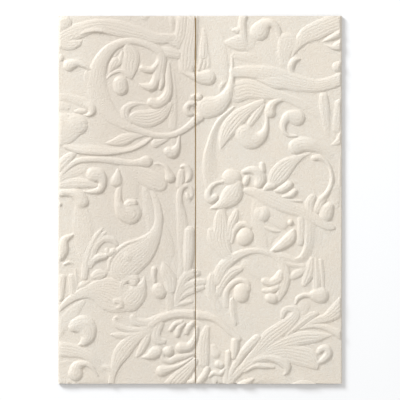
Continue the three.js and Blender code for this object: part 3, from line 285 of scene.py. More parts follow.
    ["bud", [[-28.4, -77.5, 0.5], [-25, -77, 1.8], [-22.4, -75.4, 3], [-21, -74.8, 2.7]]],
    ["bud", [[-9, -60, 1.1], [-12.3, -61.2, 1.3], [-14.6, -64, 1.1]]],
    ["bud", [[-8, -61, 1.1], [-10.3, -63.3, 1.6], [-11.2, -66.4, 1.5]]],
    ["bud", [[-3.6, -60.6, 1.2], [-5.8, -63, 1.6], [-6.6, -65.2, 1.4]]],
    ["bud", [[-1.4, -63, 0.9], [-2.4, -68, 1.6], [-5.3, -72.2, 2.2], [-9.4, -72.8, 2.7]]],
    ["bud", [[-15.4, -74.6, 2.6]]],
    ["stem", [[-16.4, -72.6, 0.6], [-18.2, -75, 0.9], [-18.2, -78.2, 1.3], [-15, -79.5, 1.4],
              [-11.5, -77.9, 1.7], [-7, -76.9, 1.4], [-3.5, -75.8, 0.7]]],
    ["bud", [[-4, -77.8, 0.5], [-9, -81, 1], [-14, -83, 1.5], [-18.9, -84.3, 2.8]]],
    ["fan", [[-2, -79, 1.4], [-6.4, -84, 3], [-11, -88.6, 3.8], [-15, -93, 4]]],
    ["bud", [[-5.4, -89.6, 1], [-3, -89, 1.5], [-2.6, -86, 0.6]]],
    # Curls and straps beside the gate's free edge
    ["bud", [[-9.2, 16.2, 0.8], [-7.2, 16.6, 1.3], [-5.2, 14, 1.6], [-5.4, 10.8, 1.4],
             [-6.8, 8.8, 0.6]]],
    ["leaf", [[-9.2, 13.6, 1.5], [-9.5, 10.5, 2], [-10, 7, 1.8]]],
    ["stem", [[-6, 7.1, 1], [-8.6, 6, 1.4], [-10, 3, 1.6], [-10, -2, 1.8], [-9, -8, 2.6, 0.7],
              [-8.6, -14, 2.8, 0.5], [-9.4, -20, 2, 0.4]]],
    ["bud", [[-6.4, 2.6, 1], [-5.6, 1, 1.4]]],
    ["stem", [[-6, 7.1, 0.9], [-4.4, 5.4, 1], [-4, 2.4, 0.9], [-5.2, -0.6, 0.7]]],
    ["bud", [[-5.3, -15.8, 2.8], [-5.3, -21, 2.9], [-5.6, -28, 2.7], [-6.2, -34, 2, 0.6]]],
    ["low", [[-10.6, -17, 0.8], [-9.4, -24, 1.6], [-8.8, -31, 1.6], [-10, -38, 1.5]]],
    # Flower and fan leaf beside the gate's free edge
    ["bud", [[-22.6, -34.3, 1.5], [-22.8, -37.4, 1.4], [-22.2, -40, 0.9]]],
    ["leaf", [[-18.1, -30.6, 0.3], [-17, -35, 2.7], [-14.8, -39, 3.2], [-14.4, -44, 2.6]]],
    ["low", [[-13.4, -30, 0.4], [-12.2, -35, 0.9], [-11.6, -40, 1]]],
    ["bud", [[-20.5, -44.2, 3.2], [-19.6, -45.6, 3.3]]],
    ["low", [[-14.6, -42, 2.6], [-15, -48, 2.2], [-15, -54, 1.8]]],
    ["leaf", [[-12, -49, 0.9], [-9.5, -41.8, 1.9], [-6, -37, 2.4], [-1.6, -35.9, 1.9]]],
    ["leaf", [[-11.8, -50, 0.8], [-8, -43.6, 1.7], [-3, -41, 2], [2, -40.2, 1.6]]],
    ["leaf", [[-11.6, -51, 0.7], [-7.5, -46.6, 1.5], [-3, -44.4, 1.7], [1.5, -42.9, 1.2]]],
    ["leaf", [[-11.6, -52, 0.6], [-8, -50.8, 1.3], [-4.5, -50, 1.1]]],
    # Hanging fold, leaf and stems at the top of the right gate
    ["fan", [[2, 84, 1, 0.5], [2, 77, 1.9, 0.8], [1.6, 71, 2]]],
    ["leaf", [[1.6, 74, 0.6], [0.8, 69, 0.9], [-0.6, 64.2, 0.9]]],
    ["leaf", [[2.4, 74, 0.6], [2.5, 69, 0.8], [1.8, 65, 0.8]]],
    ["leaf", [[3.4, 75, 0.6], [4, 70, 0.9], [4.3, 66, 0.9]]],
    ["slope", [[7, 84, 3, 0], [8, 76, 4.6, 0.7], [9, 68, 4.8], [10, 61, 4, 0.8]]],
    ["leaf", [[11.3, 77.7, 0.2], [15, 77.2, 2.2], [19.5, 77.2, 4], [23, 77.8, 4.4, 0.4]]],
    ["bud", [[16.4, 83.5, 0.9], [18.6, 83.3, 1.7]]],
    ["stem", [[21.6, 93, 2.2], [20.8, 86, 2], [21.3, 80, 2.1], [22.8, 74.6, 1.8, 0.3]]],
    ["bud", [[39, 80, 1.3, 0.4], [38, 84, 1.8, 0.8], [35, 86.9, 2.1], [31.6, 86, 3.1],
             [29.3, 82.9, 4.7]]],
    ["leaf", [[41.4, 68, 2.6, 0.3], [41.7, 73, 3.6, 0.7], [43.2, 77.4, 5]]],
    ["leaf", [[45.4, 70.8, 0.5], [48, 76, 2.2], [52, 80.6, 3.8], [57, 83, 4.6], [63, 85.8, 4.4],
              [71, 89, 5]]],
    ["bud", [[60.3, 77.8, 0.3], [64, 79.3, 1.3], [67.5, 81.2, 1.8], [71, 82.6, 2]]],
    ["bud", [[61.5, 76.4, 0.2], [65, 75.1, 1.2], [68, 75.6, 2.4], [71, 76.6, 3]]],
    ["bud", [[67.5, 65.4, 2.6, 0.8], [71, 66, 2.8]]],
    ["bud", [[44.8, 63.2, 1.3, 0.4], [45, 66.2, 1.8], [46.4, 68.6, 1.6], [48.8, 69.2, 0.8]]],
    # Lobed branch that sweeps to the right fold
    ["low", [[17, 71, 1.8], [22, 70.3, 2.2], [28, 69.6, 2.6, 0.3]]],
    ["branch", [[16.8, 62.6, 2.6], [22, 63, 3], [28, 62.6, 3.4], [35, 61.4, 4.4], [43, 58.6, 4.6],
                [50, 57, 4], [57, 56.1, 3.3], [64, 57.4, 3.2], [72, 60.5, 3.2]]],
    ["leaf", [[27.5, 59.4, 0.4, 1.2], [32, 58.4, 1.6, 1.3], [37, 58, 3.4, 1.4], [42, 56.4, 2.2, 1.3],
              [48, 54.6, 1, 1]]],
    ["bud", [[3.4, 45.2, 5.4], [8.4, 46.4, 4.7], [12.4, 50, 3.3], [14.8, 54.6, 2.2], [15.6, 59, 1.5],
             [15.9, 65, 0.9], [15.6, 71, 0.7, 0.6]]],
    ["leaf", [[13.4, 58.7, 0.4], [11.7, 57.6, 1], [10.4, 55.8, 1.2], [9.9, 54.2, 0.6]]],
    ["fan", [[18.2, 53, 5.2], [23.5, 54.4, 4.8], [30, 53.1, 3.8], [36, 51.9, 2.7], [43, 49.9, 2.2, 0.8],
             [50, 47, 2.4, 0.5], [57, 43, 2.6, 0.2]]],
    # Striped leaves, crescent and big curl under the branch
    ["fan", [[9.9, 24.4, 0.3], [11.5, 29.5, 2.2], [14.3, 35, 3.8], [19, 40.6, 3.8], [25, 45, 2.4],
             [31, 48.5, 1.3]]],
    ["left", [[5.6, 7, 3.4, 0.5], [5, 15, 3.8, 0.8], [4.9, 22, 3.2], [5.7, 28, 2.3], [7.3, 34, 1.7],
              [10.2, 39.2, 1.4], [16.5, 45.2, 0.9]]],
    ["fan", [[24.8, 37.6, 1.6], [28, 42.3, 2], [31.4, 46.6, 1]]],
    ["bud", [[32.6, 44, 0.9], [32.9, 38, 1.1], [31.9, 33.6, 1.9], [29, 30.2, 3.3], [24.8, 29.7, 4.9],
             [22, 32.4, 4.7]]],
    ["nick", [[24.4, 35.1, 0.6], [26, 35.2, 0.5]]],
    ["bud", [[43, 48.9, 0.6, 0.6], [39.4, 49, 1.1], [36.2, 47.5, 1.8], [34.6, 45, 2.5],
             [34.7, 42.8, 2.6]]],
    ["bud", [[47.5, 31.4, 0.7], [43.4, 31.7, 1], [41.1, 34.4, 1.4], [41.3, 38.2, 1.9], [43.6, 41, 2.7],
             [47.8, 40.4, 4.1]]],
    # Leaves along the right fold
    ["leaf", [[60.8, 50.4, 2.3], [61.3, 45, 2.6], [61.8, 40, 2.2, 0.7], [62.6, 33, 1.5, 0.3]]],
    ["leaf", [[69.4, 46.6, 3.2], [68.4, 41, 2.8, 0.8], [67, 35, 2, 0.5]]],
    ["leaf", [[65, 27, 0.6], [68, 28.6, 1.7], [71, 32, 2.6]]],
    ["low", [[70.5, 26, 1], [69.9, 18, 1.6], [69.6, 8, 1.8]]],
    # Bud, hook and spindle leaf above the calyx
    ["bud", [[47.2, 26.1, 3.8], [50.4, 27.3, 3.8], [54.4, 26.9, 3.3], [59.5, 24.8, 2.4, 0.5],
             [64, 22, 2, 0.2]]],
    ["bud", [[56.2, 20.6, 1.5], [59, 20.6, 1.5], [62, 18.8, 1.2], [64, 15.6, 1], [64.9, 11, 1.2],
             [64.4, 7, 1.3], [62.6, 3.4, 1.4], [59.6, 0.3, 1.5]]],
    ["fan", [[54.4, 23, 0.4], [49, 20.7, 1.5], [43.6, 17.4, 3.6], [39.4, 13.2, 4.6], [36.6, 9.4, 3.2],
             [35, 7.2, 1.2]]],
    ["bud", [[31.5, 4.8, 1], [34.2, 6.7, 2], [36.2, 6.9, 1.6]]],
    ["bud", [[37.4, 4.4, 1], [40.6, 5.1, 1.9], [43.9, 7.5, 2.1]]],
    ["bud", [[41, 1.4, 0.9], [44.6, 2.3, 1.6], [46.7, 4.2, 1.5]]],
    ["bud", [[38, 0.8, 0.7], [44, -0.4, 0.9], [49.8, -0.6, 0.6]]],
    # Calyx and branch that falls to the right fold
    ["branch", [[22.4, 4.4, 1.4], [27, 3.5, 2.5], [34, 0.6, 3.8], [42, -3, 3.5], [50, -6, 3],
                [57, -9.7, 2.8], [62.5, -12.8, 2.3], [65.3, -13.6, 1.4]]],
    ["leaf", [[53.8, -5.6, 2], [54, -1.6, 2.3], [55.4, 1.2, 1.9]]],
    ["leaf", [[62.6, 3, 1.2, 0.6], [59.8, -0.6, 2], [57.6, -5, 2]]],
    ["bud", [[62, -7.6, 3.3], [62.4, -5.6, 3.5], [63.8, -3.2, 2.2]]],
    ["low", [[66, 5.6, 2.6], [66.4, 1, 2.6], [67, -3, 1.6]]],
    # Ball bud, hooks and pod left of the calyx
    ["bud", [[21.7, 13.8, 1.2], [24.6, 14.7, 1.8], [28, 13.8, 2.6], [29.7, 10.5, 3], [28.8, 7.6, 2.2]]],
    ["bud", [[30.6, 17.6, 1.3], [30.6, 14.5, 1.8]]],
    ["bud", [[22.4, 8.4, 1.6], [23.2, 10.5, 1.6]]],
    ["pod", [[18.5, 7.5, 2.6], [16, 2.6, 5], [12.4, -1, 3.4], [9, -3, 1.8], [5, -4.4, 0.4]]],
    ["ball", [[15, 11, 4.2], [16.3, 10.7, 4.2]]],
    ["bud", [[11.6, 9, 0.7], [8, 8.2, 1.1], [5, 5.8, 1.4], [3.9, 2.2, 1.8], [5.2, 0, 2.1],
             [7.6, 1.2, 1.8]]],
    ["low", [[10.6, 21.3, 0.6], [13.5, 19, 0.8], [16.5, 16.4, 0.5]]],
    # Acanthus leaf, ball scroll and trunk at the middle of the right gate
    ["fan", [[10.8, -5, 1.8], [10.3, -9, 3.1], [10.2, -14.5, 3.9], [9.8, -20, 4.8], [12.4, -26, 3.4],
             [16, -30, 1.6]]],
    ["fan", [[5.3, -15.6, 1.8], [6, -19, 2.6], [7.6, -23, 2]]],
    ["fan", [[17.8, -5.9, 1.4], [16.8, -9, 2.1], [14.8, -13.4, 2], [14, -19, 1.8]]],
    ["stem", [[15.6, -21, 0.9], [16.6, -16, 1.4], [18.8, -12.9, 1.6], [22, -12, 1.4],
              [24.8, -13.6, 1.2]]],
    ["ball", [[21.6, -19, 3.8], [22.6, -17.8, 4]]],
    ["low", [[29.5, 0, 3.6], [28.6, -6, 3.6], [28.6, -13, 3.6], [30, -20, 3.4], [32, -26, 2]]],
    ["ball", [[29.6, -6.6, 3.4, 0.7], [31, -7, 3.9]]],
    ["bud", [[32, -13.4, 0.7], [35.4, -15, 1], [38.8, -15.6, 0.6]]],
    ["nick", [[35.4, -21.8, 0.6], [37, -19.6, 1], [39.4, -17.8, 0.4]]],
    ["leaf", [[31, -3, 1.6, 0.4], [36, -8, 3.4, 0.7], [40.6, -11.6, 3, 0.8]]],
    ["bud", [[35.6, -25, 1], [40.2, -22.4, 2.5], [44.3, -18.9, 3], [45.9, -15.4, 1.2]]],
    ["ball", [[44.5, -11.2, 1.6]]],
    ["leaf", [[49.8, -9.6, 1.9], [49.7, -16, 2], [49.3, -20.9, 1.8]]],
    ["left", [[44, -29.2, 0.5], [48.6, -29.6, 1.7], [52, -27.2, 2.4], [53.8, -22.4, 2.6],
              [54.4, -16, 3, 0.8], [54, -9, 3, 0.4]]],
    ["fan", [[36, -26.6, 0.8], [42, -28.2, 1.7], [47.6, -30.4, 1.4]]],
    ["fan", [[38, -29.4, 0.7], [44, -31.6, 1.4], [51, -32.8, 1.2]]],
    ["leaf", [[45.4, -38, 1.5], [47.6, -36.6, 2.1], [50.2, -35, 1.6], [51.8, -33, 0.8]]],
    # Tassel leaf and dumbbell bud at the right
    ["fan", [[55, -29.5, 1.4], [53.6, -36, 2.6], [51.4, -41.3, 1.5]]],
    ["fan", [[57, -30, 1.2], [57.4, -37, 1.9], [57.4, -43, 1.8]]],
    ["fan", [[59.4, -30, 1.2], [60, -37, 1.4], [60.6, -42.6, 0.8]]],
    ["low", [[49.5, -57.5, 2.2], [51.4, -52, 3]]],
    ["bud", [[47, -51.2, 0.5], [48.2, -48.4, 1.2], [51.4, -46.9, 1.2], [54.4, -47, 1.6],
             [57, -47.1, 3.2], [59.4, -47, 4.1]]],
    # Great scroll of the right gate with its leaves, ball and flower bud
    ["branch", [[8.4, -39.6, 2.6, 0.8], [11, -33.6, 3], [15.4, -29.4, 2.6], [21, -26.4, 2],
                [27, -25.1, 1.5], [33, -25.9, 1.5], [37.6, -28.4, 1.8], [41, -32.4, 2.5],
                [42, -38, 2.6], [40.6, -43.6, 2.6], [38.6, -48.6, 1.6]]],
    ["fan", [[5.8, -37.4, 1.6], [5.2, -41.4, 2.4], [5.8, -47, 2.4, 0.7], [8.6, -53, 2.2, 0.3]]],
    ["fan", [[9, -46, 1.8, 0.6], [11.6, -40.6, 2], [15.4, -36, 2.3], [20, -33.9, 1.5]]],
    ["stem", [[12.8, -52, 1.6, 0.4], [12.8, -46, 1.5], [15.3, -41.8, 1.4], [19.4, -39.6, 1.3],
              [23, -40.8, 1.4], [24, -44, 1.1]]],
    ["ball", [[20.6, -44.8, 3.8], [20.3, -46.9, 3.9]]],
    ["right", [[16.5, -50, 2], [16.6, -55, 1.9], [17.6, -60.4, 1.5]]],
    ["low", [[22.6, -32, 2.6], [26, -34.8, 2.6], [30, -37.8, 1.8]]],
    ["bud", [[31.8, -40, 1.9], [35, -40.8, 2.2], [38.6, -39, 2.7], [39.6, -36.4, 2]]],
    ["bud", [[31.6, -44.6, 1.2], [34.4, -44.8, 1.7], [38, -43, 2]]],
    ["ball", [[34.6, -48.2, 2.7], [36, -48.6, 2.7]]],
    ["bud", [[32.6, -48.3, 0.9]]],
    # Pods under the middle of the right gate
    ["leaf", [[3.4, -63.4, 1.6], [2.2, -68, 2.6], [1.7, -74, 3], [1.9, -80, 2.6]]],
    ["bud", [[6.6, -72.4, 1.5, 0.4], [7.8, -75.8, 2.4, 0.5]]],
    ["bud", [[9, -80.9, 1.9], [10.2, -81.3, 1.9]]],
    ["bud", [[3.6, -83.2, 1.5], [2.2, -86.4, 1.8], [-0.6, -89.6, 1.6]]],
    ["bud", [[4.4, -87, 0.8], [7, -85.2, 1.3], [10, -85.6, 1.3], [12.4, -83, 0.8]]],
    ["low", [[8.6, -88.4, 2.6], [9, -92, 3]]],
    ["bud", [[17.4, -69.6, 2.1], [17.2, -73.4, 2.1], [16.6, -77.4, 1.4]]],
    ["bud", [[14, -75.2, 1.5], [13.9, -78, 1.5], [13.4, -83, 1.5, 0.6], [12.4, -92, 1.6, 0.6]]],
    # Great leaf at the foot of the right gate
    ["leaf", [[12, -93, 1.6], [18, -85.6, 2], [24, -80.6, 2.2], [30, -77.6, 2.4]]],
    ["fan", [[17, -87, 0.8], [22, -80.6, 1.4], [28, -74.4, 2.4], [33.6, -68.4, 3.9], [38.6, -64.6, 3.8],
             [43.6, -60.8, 3.2], [47, -57, 2.5], [46.6, -54.2, 1.9], [43.8, -53.6, 1.5],
             [41.4, -54.8, 1.5], [40.5, -57.4, 1.2]]],
    ["fan", [[43, -66.4, 1.2], [49, -61.2, 1.7], [53.6, -57.7, 1.9], [57.2, -55.9, 1.2]]],
    ["fan", [[49.6, -63.6, 0.5], [56, -59.9, 1.5], [62, -58.2, 2.3], [66.4, -55.4, 3.5], [71, -51, 4]]],
    ["stem", [[49, -63.7, 0.6], [55, -62.2, 1.1], [61, -62.7, 1.5], [66, -64.8, 1.9],
              [71, -67.4, 2.3]]],
    ["fan", [[30, -76, 1.4], [37, -72.2, 2.4], [44, -69.6, 3.1], [51, -68, 3.3], [57, -67.6, 2.6],
             [62, -66.9, 1.3], [65.4, -66.7, 0.3]]],
    ["fan", [[26, -79, 1.4], [34, -76.6, 3.2], [41, -75.4, 4.2], [48, -76.6, 4.8], [53.6, -78.2, 4.6],
             [56.6, -81.6, 2.2], [56.4, -83.6, 0.4]]],
    ["bud", [[56.2, -80.9, 0.7], [60.3, -79, 1.6], [63, -76, 2.1], [62.3, -73.2, 1.9],
             [59.6, -73.5, 1.7], [58.4, -75, 1.2]]],
    ["bud", [[26, -79.6, 1.2], [32, -77.6, 1.7], [38, -78.6, 2.3], [42.3, -81.3, 2.4],
             [42.7, -84.3, 1.4], [41.2, -86.4, 0.4]]],
    ["bud", [[22, -84.4, 0.9], [27, -81.8, 1.4], [31.6, -81.8, 1.5], [36.2, -82.4, 0.8]]],
    ["stem", [[13.4, -92, 1], [15.4, -85, 1.4], [18.2, -80, 1.8], [21.6, -75, 2.1], [25.4, -70.8, 2.3],
              [28.2, -68, 2.1]]],
    ["bud", [[18, -92.4, 1.6], [22.6, -90.2, 1.8], [26.2, -88.2, 0.7]]],
    ["leaf", [[44, -93, 2], [51, -91.4, 2.7], [58, -93, 2]]],
]


def curve_through(rows):
    """Points on the smooth curve through a stroke's rows, with the width and height between them."""
    given = np.array([list(row) + [1.0] * (4 - len(row)) for row in rows], float)
    if len(given) == 1:
        return given
    padded = np.vstack([2 * given[0] - given[1], given, 2 * given[-1] - given[-2]])
    share = (np.arange(CURVE_STEPS) / CURVE_STEPS)[:, None]
    spans = []
    for before, start, end, after in zip(padded, padded[1:], padded[2:], padded[3:]):
        spans.append(0.5 * (2 * start + (end - before) * share
                            + (2 * before - 5 * start + 4 * end - after) * share ** 2
                            + (3 * start - before - 3 * end + after) * share ** 3))
    curve = np.vstack(spans + [given[-1:]])
    curve[:, 2] = np.maximum(curve[:, 2], SLIM)
    curve[:, 3] = np.clip(curve[:, 3], 0, LIFT_LIMIT)
    return curve


def place_on(curve, x, y):
    """For each point: its share of the way to the edge, its signed share across the stroke, and the
    half width and lift of the stroke beside it."""
    nearest = np.full(x.shape, np.inf)
    across, half, lift = np.zeros(x.shape), np.ones(x.shape), np.ones(x.shape)
    if len(curve) == 1:
        nearest = np.hypot(x - curve[0, 0], y - curve[0, 1]) / curve[0, 2]
        return nearest, np.clip(nearest, 0, 1), np.full(x.shape, curve[0, 2]), lift
    for start, end in zip(curve, curve[1:]):
        run_x, run_y = end[:2] - start[:2]
        run_squared = run_x ** 2 + run_y ** 2 + 1e-12
        share = np.clip(((x - start[0]) * run_x + (y - start[1]) * run_y) / run_squared, 0, 1)
        away = np.hypot(x - start[0] - share * run_x, y - start[1] - share * run_y)
        width = start[2] + share * (end[2] - start[2])
        nearer = away / width < nearest
        side = np.sign(run_x * (y - start[1]) - run_y * (x - start[0]))
        across = np.where(nearer, side * away / width, across)
        half = np.where(nearer, width, half)
        lift = np.where(nearer, start[3] + share * (end[3] - start[3]), lift)
        nearest = np.where(nearer, away / width, nearest)
    return nearest, np.clip(across, -1, 1), half, lift


def stroke_height(kind, curve, x, y):
    """Height of one stroke over the points that it covers, and which points those are."""
    shape = KINDS[kind]
    reach, across, half, lift = place_on(curve, x, y)
    left, right = shape["left"], shape["right"]
    crest = (right - left) / (left + right)
    crown = (1 - across) ** left * (1 + across) ** right
    crown /= (1 - crest) ** left * (1 + crest) ** right
    step = np.clip((1 - reach) * half / STEP_RUN, 0, 1)
    step = step * step * (3 - 2 * step) * np.minimum(1, half / STEP_FULL_AT)
    if left > 1:
        step *= np.clip(1 - across, 0, 1)
    if right > 1:
        step *= np.clip(1 + across, 0, 1)
    count = max(1, round(2 * curve[:, 2].max() / VEIN_PITCH))
    broad = np.clip((half / curve[:, 2].max() - VEIN_STARTS_AT) / VEIN_GROWS_OVER, 0, 1)
    veins = shape["veins"] * (0.5 - 0.5 * np.cos(math.pi * count * (across + 1))) ** VEIN_POWER * broad
    full = np.minimum(1, half / RISE_FULL_AT) ** RISE_POWER
    height = (shape["step"] * step + shape["rise"] * full * crown - veins * step) * lift
    return height, reach < 1


def relief_at(x, y):
    """Height of the pattern over the ground of the sheet, in millimetres."""
    height = np.zeros(x.shape)
    for kind, rows in PATTERN:
        curve = curve_through(rows)
        margin = curve[:, 2].max()
        near = np.flatnonzero((x > curve[:, 0].min() - margin) & (x < curve[:, 0].max() + margin)
                              & (y > curve[:, 1].min() - margin) & (y < curve[:, 1].max() + margin))
        if len(near) == 0:
            continue
        stroke, inside = stroke_height(kind, curve, x[near], y[near])
        if kind == "nick":
            height[near] += np.where(inside, stroke, 0)
        else:
            height[near] = np.where(inside, np.maximum(stroke, height[near]), height[near])
    from_fold = np.clip((half_width - np.abs(x) - FOLD_BARE) / RELIEF_FADE, 0, 1)
    limit = RELIEF_LIMIT * np.sqrt(1 - (1 - from_fold) ** 2)
    return np.minimum(height, limit)


def creased(share):
    """A share of the fold's half circle, pushed out so that the crease is squarer than a circle."""
    return math.copysign(abs(share) ** FOLD_CREASE, share)


def section_of_sheet():
    """The folded section from one gate's free edge round the back to the other's, one row for each
    column of the grid: how far it lies from the free edge towards the fixed x, that x, its height, and
    its outward direction."""
    straight = half_width - fold_radius
    rows = []
    for share in np.linspace(0, 1, GATE_COLUMNS):
        rows.append((share, -straight, front_level, 0, 1))
    for angle in np.linspace(math.pi / 2, 3 * math.pi / 2, FOLD_COLUMNS)[1:-1]:
        across, up = creased(math.cos(angle)), creased(math.sin(angle))
        rows.append((1, -straight + fold_radius * across, fold_radius * (1 + up), across, up))
    for x in np.linspace(-straight, straight, BACK_COLUMNS):
        rows.append((1, x, 0, 0, -1))
    for angle in np.linspace(-math.pi / 2, math.pi / 2, FOLD_COLUMNS)[1:-1]:
        across, up = creased(math.cos(angle)), creased(math.sin(angle))
        rows.append((1, straight + fold_radius * across, fold_radius * (1 + up), across, up))
    for share in np.linspace(1, 0, GATE_COLUMNS):
        rows.append((share, straight, front_level, 0, 1))
    return np.array(rows)


def place_in_order(part):
    """A number from an edge's or face's corners, so that each run thins the sheet in the same way."""
    corners = [vert.index for vert in part.verts]
    return min(corners) * 1e6 + max(corners)


section = section_of_sheet()
sheet_rows = round(2 * half_height / CELL) + 1

bm = bmesh.new()
bmesh.ops.create_grid(bm, x_segments=len(section) - 1, y_segments=sheet_rows - 1, size=0.5)
outer = bmesh.ops.extrude_face_region(bm, geom=bm.faces[:], use_keep_orig=True)
outer_verts = [part for part in outer["geom"] if isinstance(part, bmesh.types.BMVert)]
bmesh.ops.translate(bm, verts=outer_verts, vec=(0, 0, 1))
# Folding turns the grid inside out, so its faces are reversed beforehand
bmesh.ops.recalc_face_normals(bm, faces=bm.faces[:])
bmesh.ops.reverse_faces(bm, faces=bm.faces[:])
bm.verts.index_update()
bm.edges.sort(key=place_in_order)
bm.faces.sort(key=place_in_order)
sheet_mesh = bpy.data.meshes.new("embossed_sheet")
bm.to_mesh(sheet_mesh)
bm.free()

flat = np.empty(len(sheet_mesh.vertices) * 3)
sheet_mesh.vertices.foreach_get("co", flat)
flat = flat.reshape(-1, 3)
column = np.rint((flat[:, 0] + 0.5) * (len(section) - 1)).astype(int)
share, fixed_x, level, out_x, out_z = section[column].T
y = flat[:, 1] * 2 * half_height
on_left_gate = column < len(section) / 2
half_gap = (GAP_AT_FOOT + (GAP_AT_TOP - GAP_AT_FOOT) * (y / half_height + 1) / 2) / 2
free_edge = GATE_MEETS_AT + np.where(on_left_gate, -half_gap, half_gap)
x = free_edge + (fixed_x - free_edge) * share
on_gate = (out_z == 1) & (level == front_level)
raised = np.zeros(len(x))
raised[on_gate] = np.round(relief_at(x[on_gate], y[on_gate]), DECIMALS)
is_outer = flat[:, 2] > 0.5
outward = np.where(is_outer, raised, -PAPER)
folded = np.stack([x + out_x * outward, y, level + out_z * outward], axis=1) * MM
sheet_mesh.vertices.foreach_set("co", folded.ravel())

sheet = bpy.data.objects.new("embossed_sheet", sheet_mesh)
bpy.context.collection.objects.link(sheet)
triangles = sum(len(face.vertices) - 2 for face in sheet_mesh.polygons)
thinning = sheet.modifiers.new("thinning", "DECIMATE")
thinning.ratio = SHEET_TRIANGLES / triangles
sheet_mesh.shade_smooth()
sheet_mesh.set_sharp_from_angle(angle=SHARP_ANGLE)
sheet.modifiers.new("even_shading", "WEIGHTED_NORMAL").keep_sharp = True
bpy.context.view_layer.update()
thinned = bpy.data.meshes.new_from_object(sheet.evaluated_get(bpy.context.evaluated_depsgraph_get()))
sheet.modifiers.clear()
sheet.data = thinned


class Value:
    """A shader socket on which sums are written as plain expressions."""

    def __init__(self, finish, socket):
        self.finish = finish
        self.socket = socket

    def sum_with(self, operation, first, second):
        return self.finish.node("ShaderNodeMath", {"operation": operation}, {0: first, 1: second})

    def __add__(self, other):
        return self.sum_with("ADD", self, other)

    def __mul__(self, other):
        return self.sum_with("MULTIPLY", self, other)

    def __sub__(self, other):
        return self.sum_with("SUBTRACT", self, other)

    def __rsub__(self, other):
        return self.sum_with("SUBTRACT", other, self)

    __radd__ = __add__
    __rmul__ = __mul__


class Finish:
    """A material whose nodes all come from one method."""

    def __init__(self, name):
        self.material = bpy.data.materials.new(name)
        self.material.use_nodes = True
        self.tree = self.material.node_tree
        self.tree.nodes.clear()

    def node(self, kind, settings=None, sockets=None, out=0):
        made = self.tree.nodes.new(kind)
        for name, value in (settings or {}).items():
            setattr(made, name, value)
        for name, value in (sockets or {}).items():
            if isinstance(value, Value):
                self.tree.links.new(value.socket, made.inputs[name])
            else:
                made.inputs[name].default_value = value
        return Value(self, made.outputs[out])

    def ramped(self, value, start, end):
        """A value stretched so that start becomes 0 and end becomes 1."""
        return self.node("ShaderNodeMapRange", {}, {"Value": value, "From Min": start, "From Max": end})

    def blended(self, amount, first, second):
        """Two colours mixed by a value."""
        return self.node("ShaderNodeMix", {"data_type": "RGBA"},
                         {"Factor": amount, 6: first, 7: second}, out=2)

    def close(self, surface):
        output = self.tree.nodes.new("ShaderNodeOutputMaterial")
        self.tree.links.new(surface.socket, output.inputs["Surface"])
        return self.material


# The sheet's ivory pearl stock is felt-marked card: fibres give it a fine mottle and fleck, and a
# pearl coat a soft sheen. Painted shade stands in for light falling off over the left gate: it makes
# that gate a little darker and warmer, most of all at its head.
IVORY_WARM = (0.82, 0.74, 0.635, 1)
IVORY_COOL = (0.78, 0.74, 0.67, 1)
IVORY_FLECK = (0.66, 0.60, 0.51, 1)
FLECK_SHARE = 0.4
# Painted shade for the left gate: its colour, how much of it is mixed in, and where it fades out along x
# and y
IVORY_PAINTED_SHADE = (0.60, 0.53, 0.455, 1)
PAINTED_SHADE_SHARE = 0.48
PAINTED_SHADE_OVER = [("X", 0.008, -0.012, 0.0), ("X", -0.066, -0.042, 0.1), ("Y", -0.085, 0.045, 0.4)]
IVORY_ROUGHNESS = 0.5

ivory = Finish("ivory_pearl_stock")
place = ivory.node("ShaderNodeTexCoord", out=3)
cloud = ivory.node("ShaderNodeTexNoise", {}, {"Vector": place, "Scale": 60.0, "Detail": 3.0})
felt = ivory.node("ShaderNodeTexNoise", {},
                  {"Vector": place, "Scale": 1300.0, "Detail": 3.0, "Roughness": 0.65})
fibre = ivory.node("ShaderNodeTexNoise", {},
                   {"Vector": place, "Scale": 2600.0, "Detail": 2.0, "Roughness": 0.6})
stock = ivory.blended(ivory.ramped(felt * 0.6 + cloud * 0.4, 0.38, 0.62), IVORY_COOL, IVORY_WARM)
fleck = ivory.ramped(felt * 0.6 + fibre * 0.4, 0.42, 0.58)
stock = ivory.blended(fleck * FLECK_SHARE, stock, IVORY_FLECK)
# Mix in the painted shade: full over the left gate, fading out towards the gap, less near the left fold
# and at the foot
painted_shade = PAINTED_SHADE_SHARE
for axis, none_at, full_at, least in PAINTED_SHADE_OVER:
    along = ivory.node("ShaderNodeSeparateXYZ", {}, {"Vector": place}, out=axis)
    painted_shade = painted_shade * ivory.node("ShaderNodeMapRange", {"interpolation_type": "SMOOTHSTEP"}, {
        "Value": along, "From Min": none_at, "From Max": full_at, "To Min": least})
stock = ivory.blended(painted_shade, stock, IVORY_PAINTED_SHADE)
grain = ivory.node("ShaderNodeBump", {}, {
    "Height": felt * 0.7 + fibre * 0.3, "Strength": 0.75, "Distance": 0.0006})
ivory.close(ivory.node("ShaderNodeBsdfPrincipled", {}, {
    "Base Color": stock,
    "Roughness": IVORY_ROUGHNESS + (felt - 0.5) * 0.2,
    "Specular IOR Level": 0.5,
    "Coat Weight": 0.35,
    "Coat Roughness": 0.38,
    "Normal": grain,
}))

sheet.data.materials.clear()
sheet.data.materials.append(ivory.material)
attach(sheet, "root")
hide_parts("embossed_gatefold")

# Inner card: a flat card with a gold paper face. It lies loose in the folded sheet, and only a
# line of its face shows between the gates.
GOLD = (0.88, 0.62, 0.28, 1)
GOLD_DEEP = (0.74, 0.50, 0.22, 1)

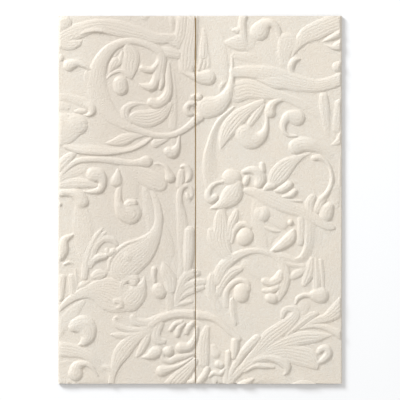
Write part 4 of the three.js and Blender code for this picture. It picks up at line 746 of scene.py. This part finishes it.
gold = Finish("gold_faced_card")
place = gold.node("ShaderNodeTexCoord", out=3)
fleck = gold.node("ShaderNodeTexNoise", {}, {"Vector": place, "Scale": 1500.0, "Detail": 4.0})
cloud = gold.node("ShaderNodeTexNoise", {}, {"Vector": place, "Scale": 40.0, "Detail": 2.0})
leaf = gold.blended(gold.ramped(cloud, 0.4, 0.6), GOLD, GOLD_DEEP)
gold.close(gold.node("ShaderNodeBsdfPrincipled", {}, {
    "Base Color": leaf,
    "Metallic": 0.3,
    "Roughness": 0.32 + fleck * 0.2,
    "Normal": gold.node("ShaderNodeBump", {}, {"Height": fleck, "Strength": 0.15, "Distance": 0.0001}),
}))
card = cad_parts["inner_card"]
card.data.materials.clear()
card.data.materials.append(gold.material)

# Floor: a plain white table that takes the invitation's soft shadow. The camera sees it a little
# lifted, so that it stays white round the shadow.
FLOOR_SIZE = 6.0
FLOOR_WHITE = (0.89, 0.905, 0.93, 1)
FLOOR_LIFT = 0.03

floor_mesh = bpy.data.meshes.new("floor")
bm = bmesh.new()
bmesh.ops.create_grid(bm, x_segments=1, y_segments=1, size=FLOOR_SIZE / 2)
bm.to_mesh(floor_mesh)
bm.free()
floor = bpy.data.objects.new("floor", floor_mesh)
bpy.context.collection.objects.link(floor)
white = Finish("white_table")
seen = white.node("ShaderNodeLightPath", out="Is Camera Ray")
table = white.node("ShaderNodeBsdfDiffuse", {}, {"Color": FLOOR_WHITE})
glow = white.node("ShaderNodeEmission", {}, {"Color": (1, 1, 1, 1), "Strength": seen * FLOOR_LIFT})
white.close(white.node("ShaderNodeAddShader", {}, {0: table, 1: glow}))
floor_mesh.materials.append(white.material)

# Studio light: a soft lamp low at the upper left picks out the relief, and a pale room fills it.
KEY_FROM = Vector((-0.62, 0.62, 0.46))
KEY_DISTANCE = 1.6
KEY_SIZE = 0.6
KEY_POWER = 25.4
KEY_COLOUR = (0.96, 0.98, 1.0)
ROOM_COLOUR = (1.0, 0.975, 0.94, 1)
ROOM_LEVEL = 0.685

key = bpy.data.objects.new("key_light", bpy.data.lights.new("key_light", "AREA"))
key.data.shape = "DISK"
key.data.size = KEY_SIZE
key.data.energy = KEY_POWER
key.data.color = KEY_COLOUR
key.location = KEY_FROM.normalized() * KEY_DISTANCE
key.rotation_euler = (-key.location).to_track_quat("-Z", "Y").to_euler()
bpy.context.collection.objects.link(key)

world = bpy.data.worlds.new("room")
world.use_nodes = True
background = world.node_tree.nodes["Background"]
background.inputs["Color"].default_value = ROOM_COLOUR
background.inputs["Strength"].default_value = ROOM_LEVEL
bpy.context.scene.world = world
bpy.context.scene.view_settings.view_transform = "Standard"
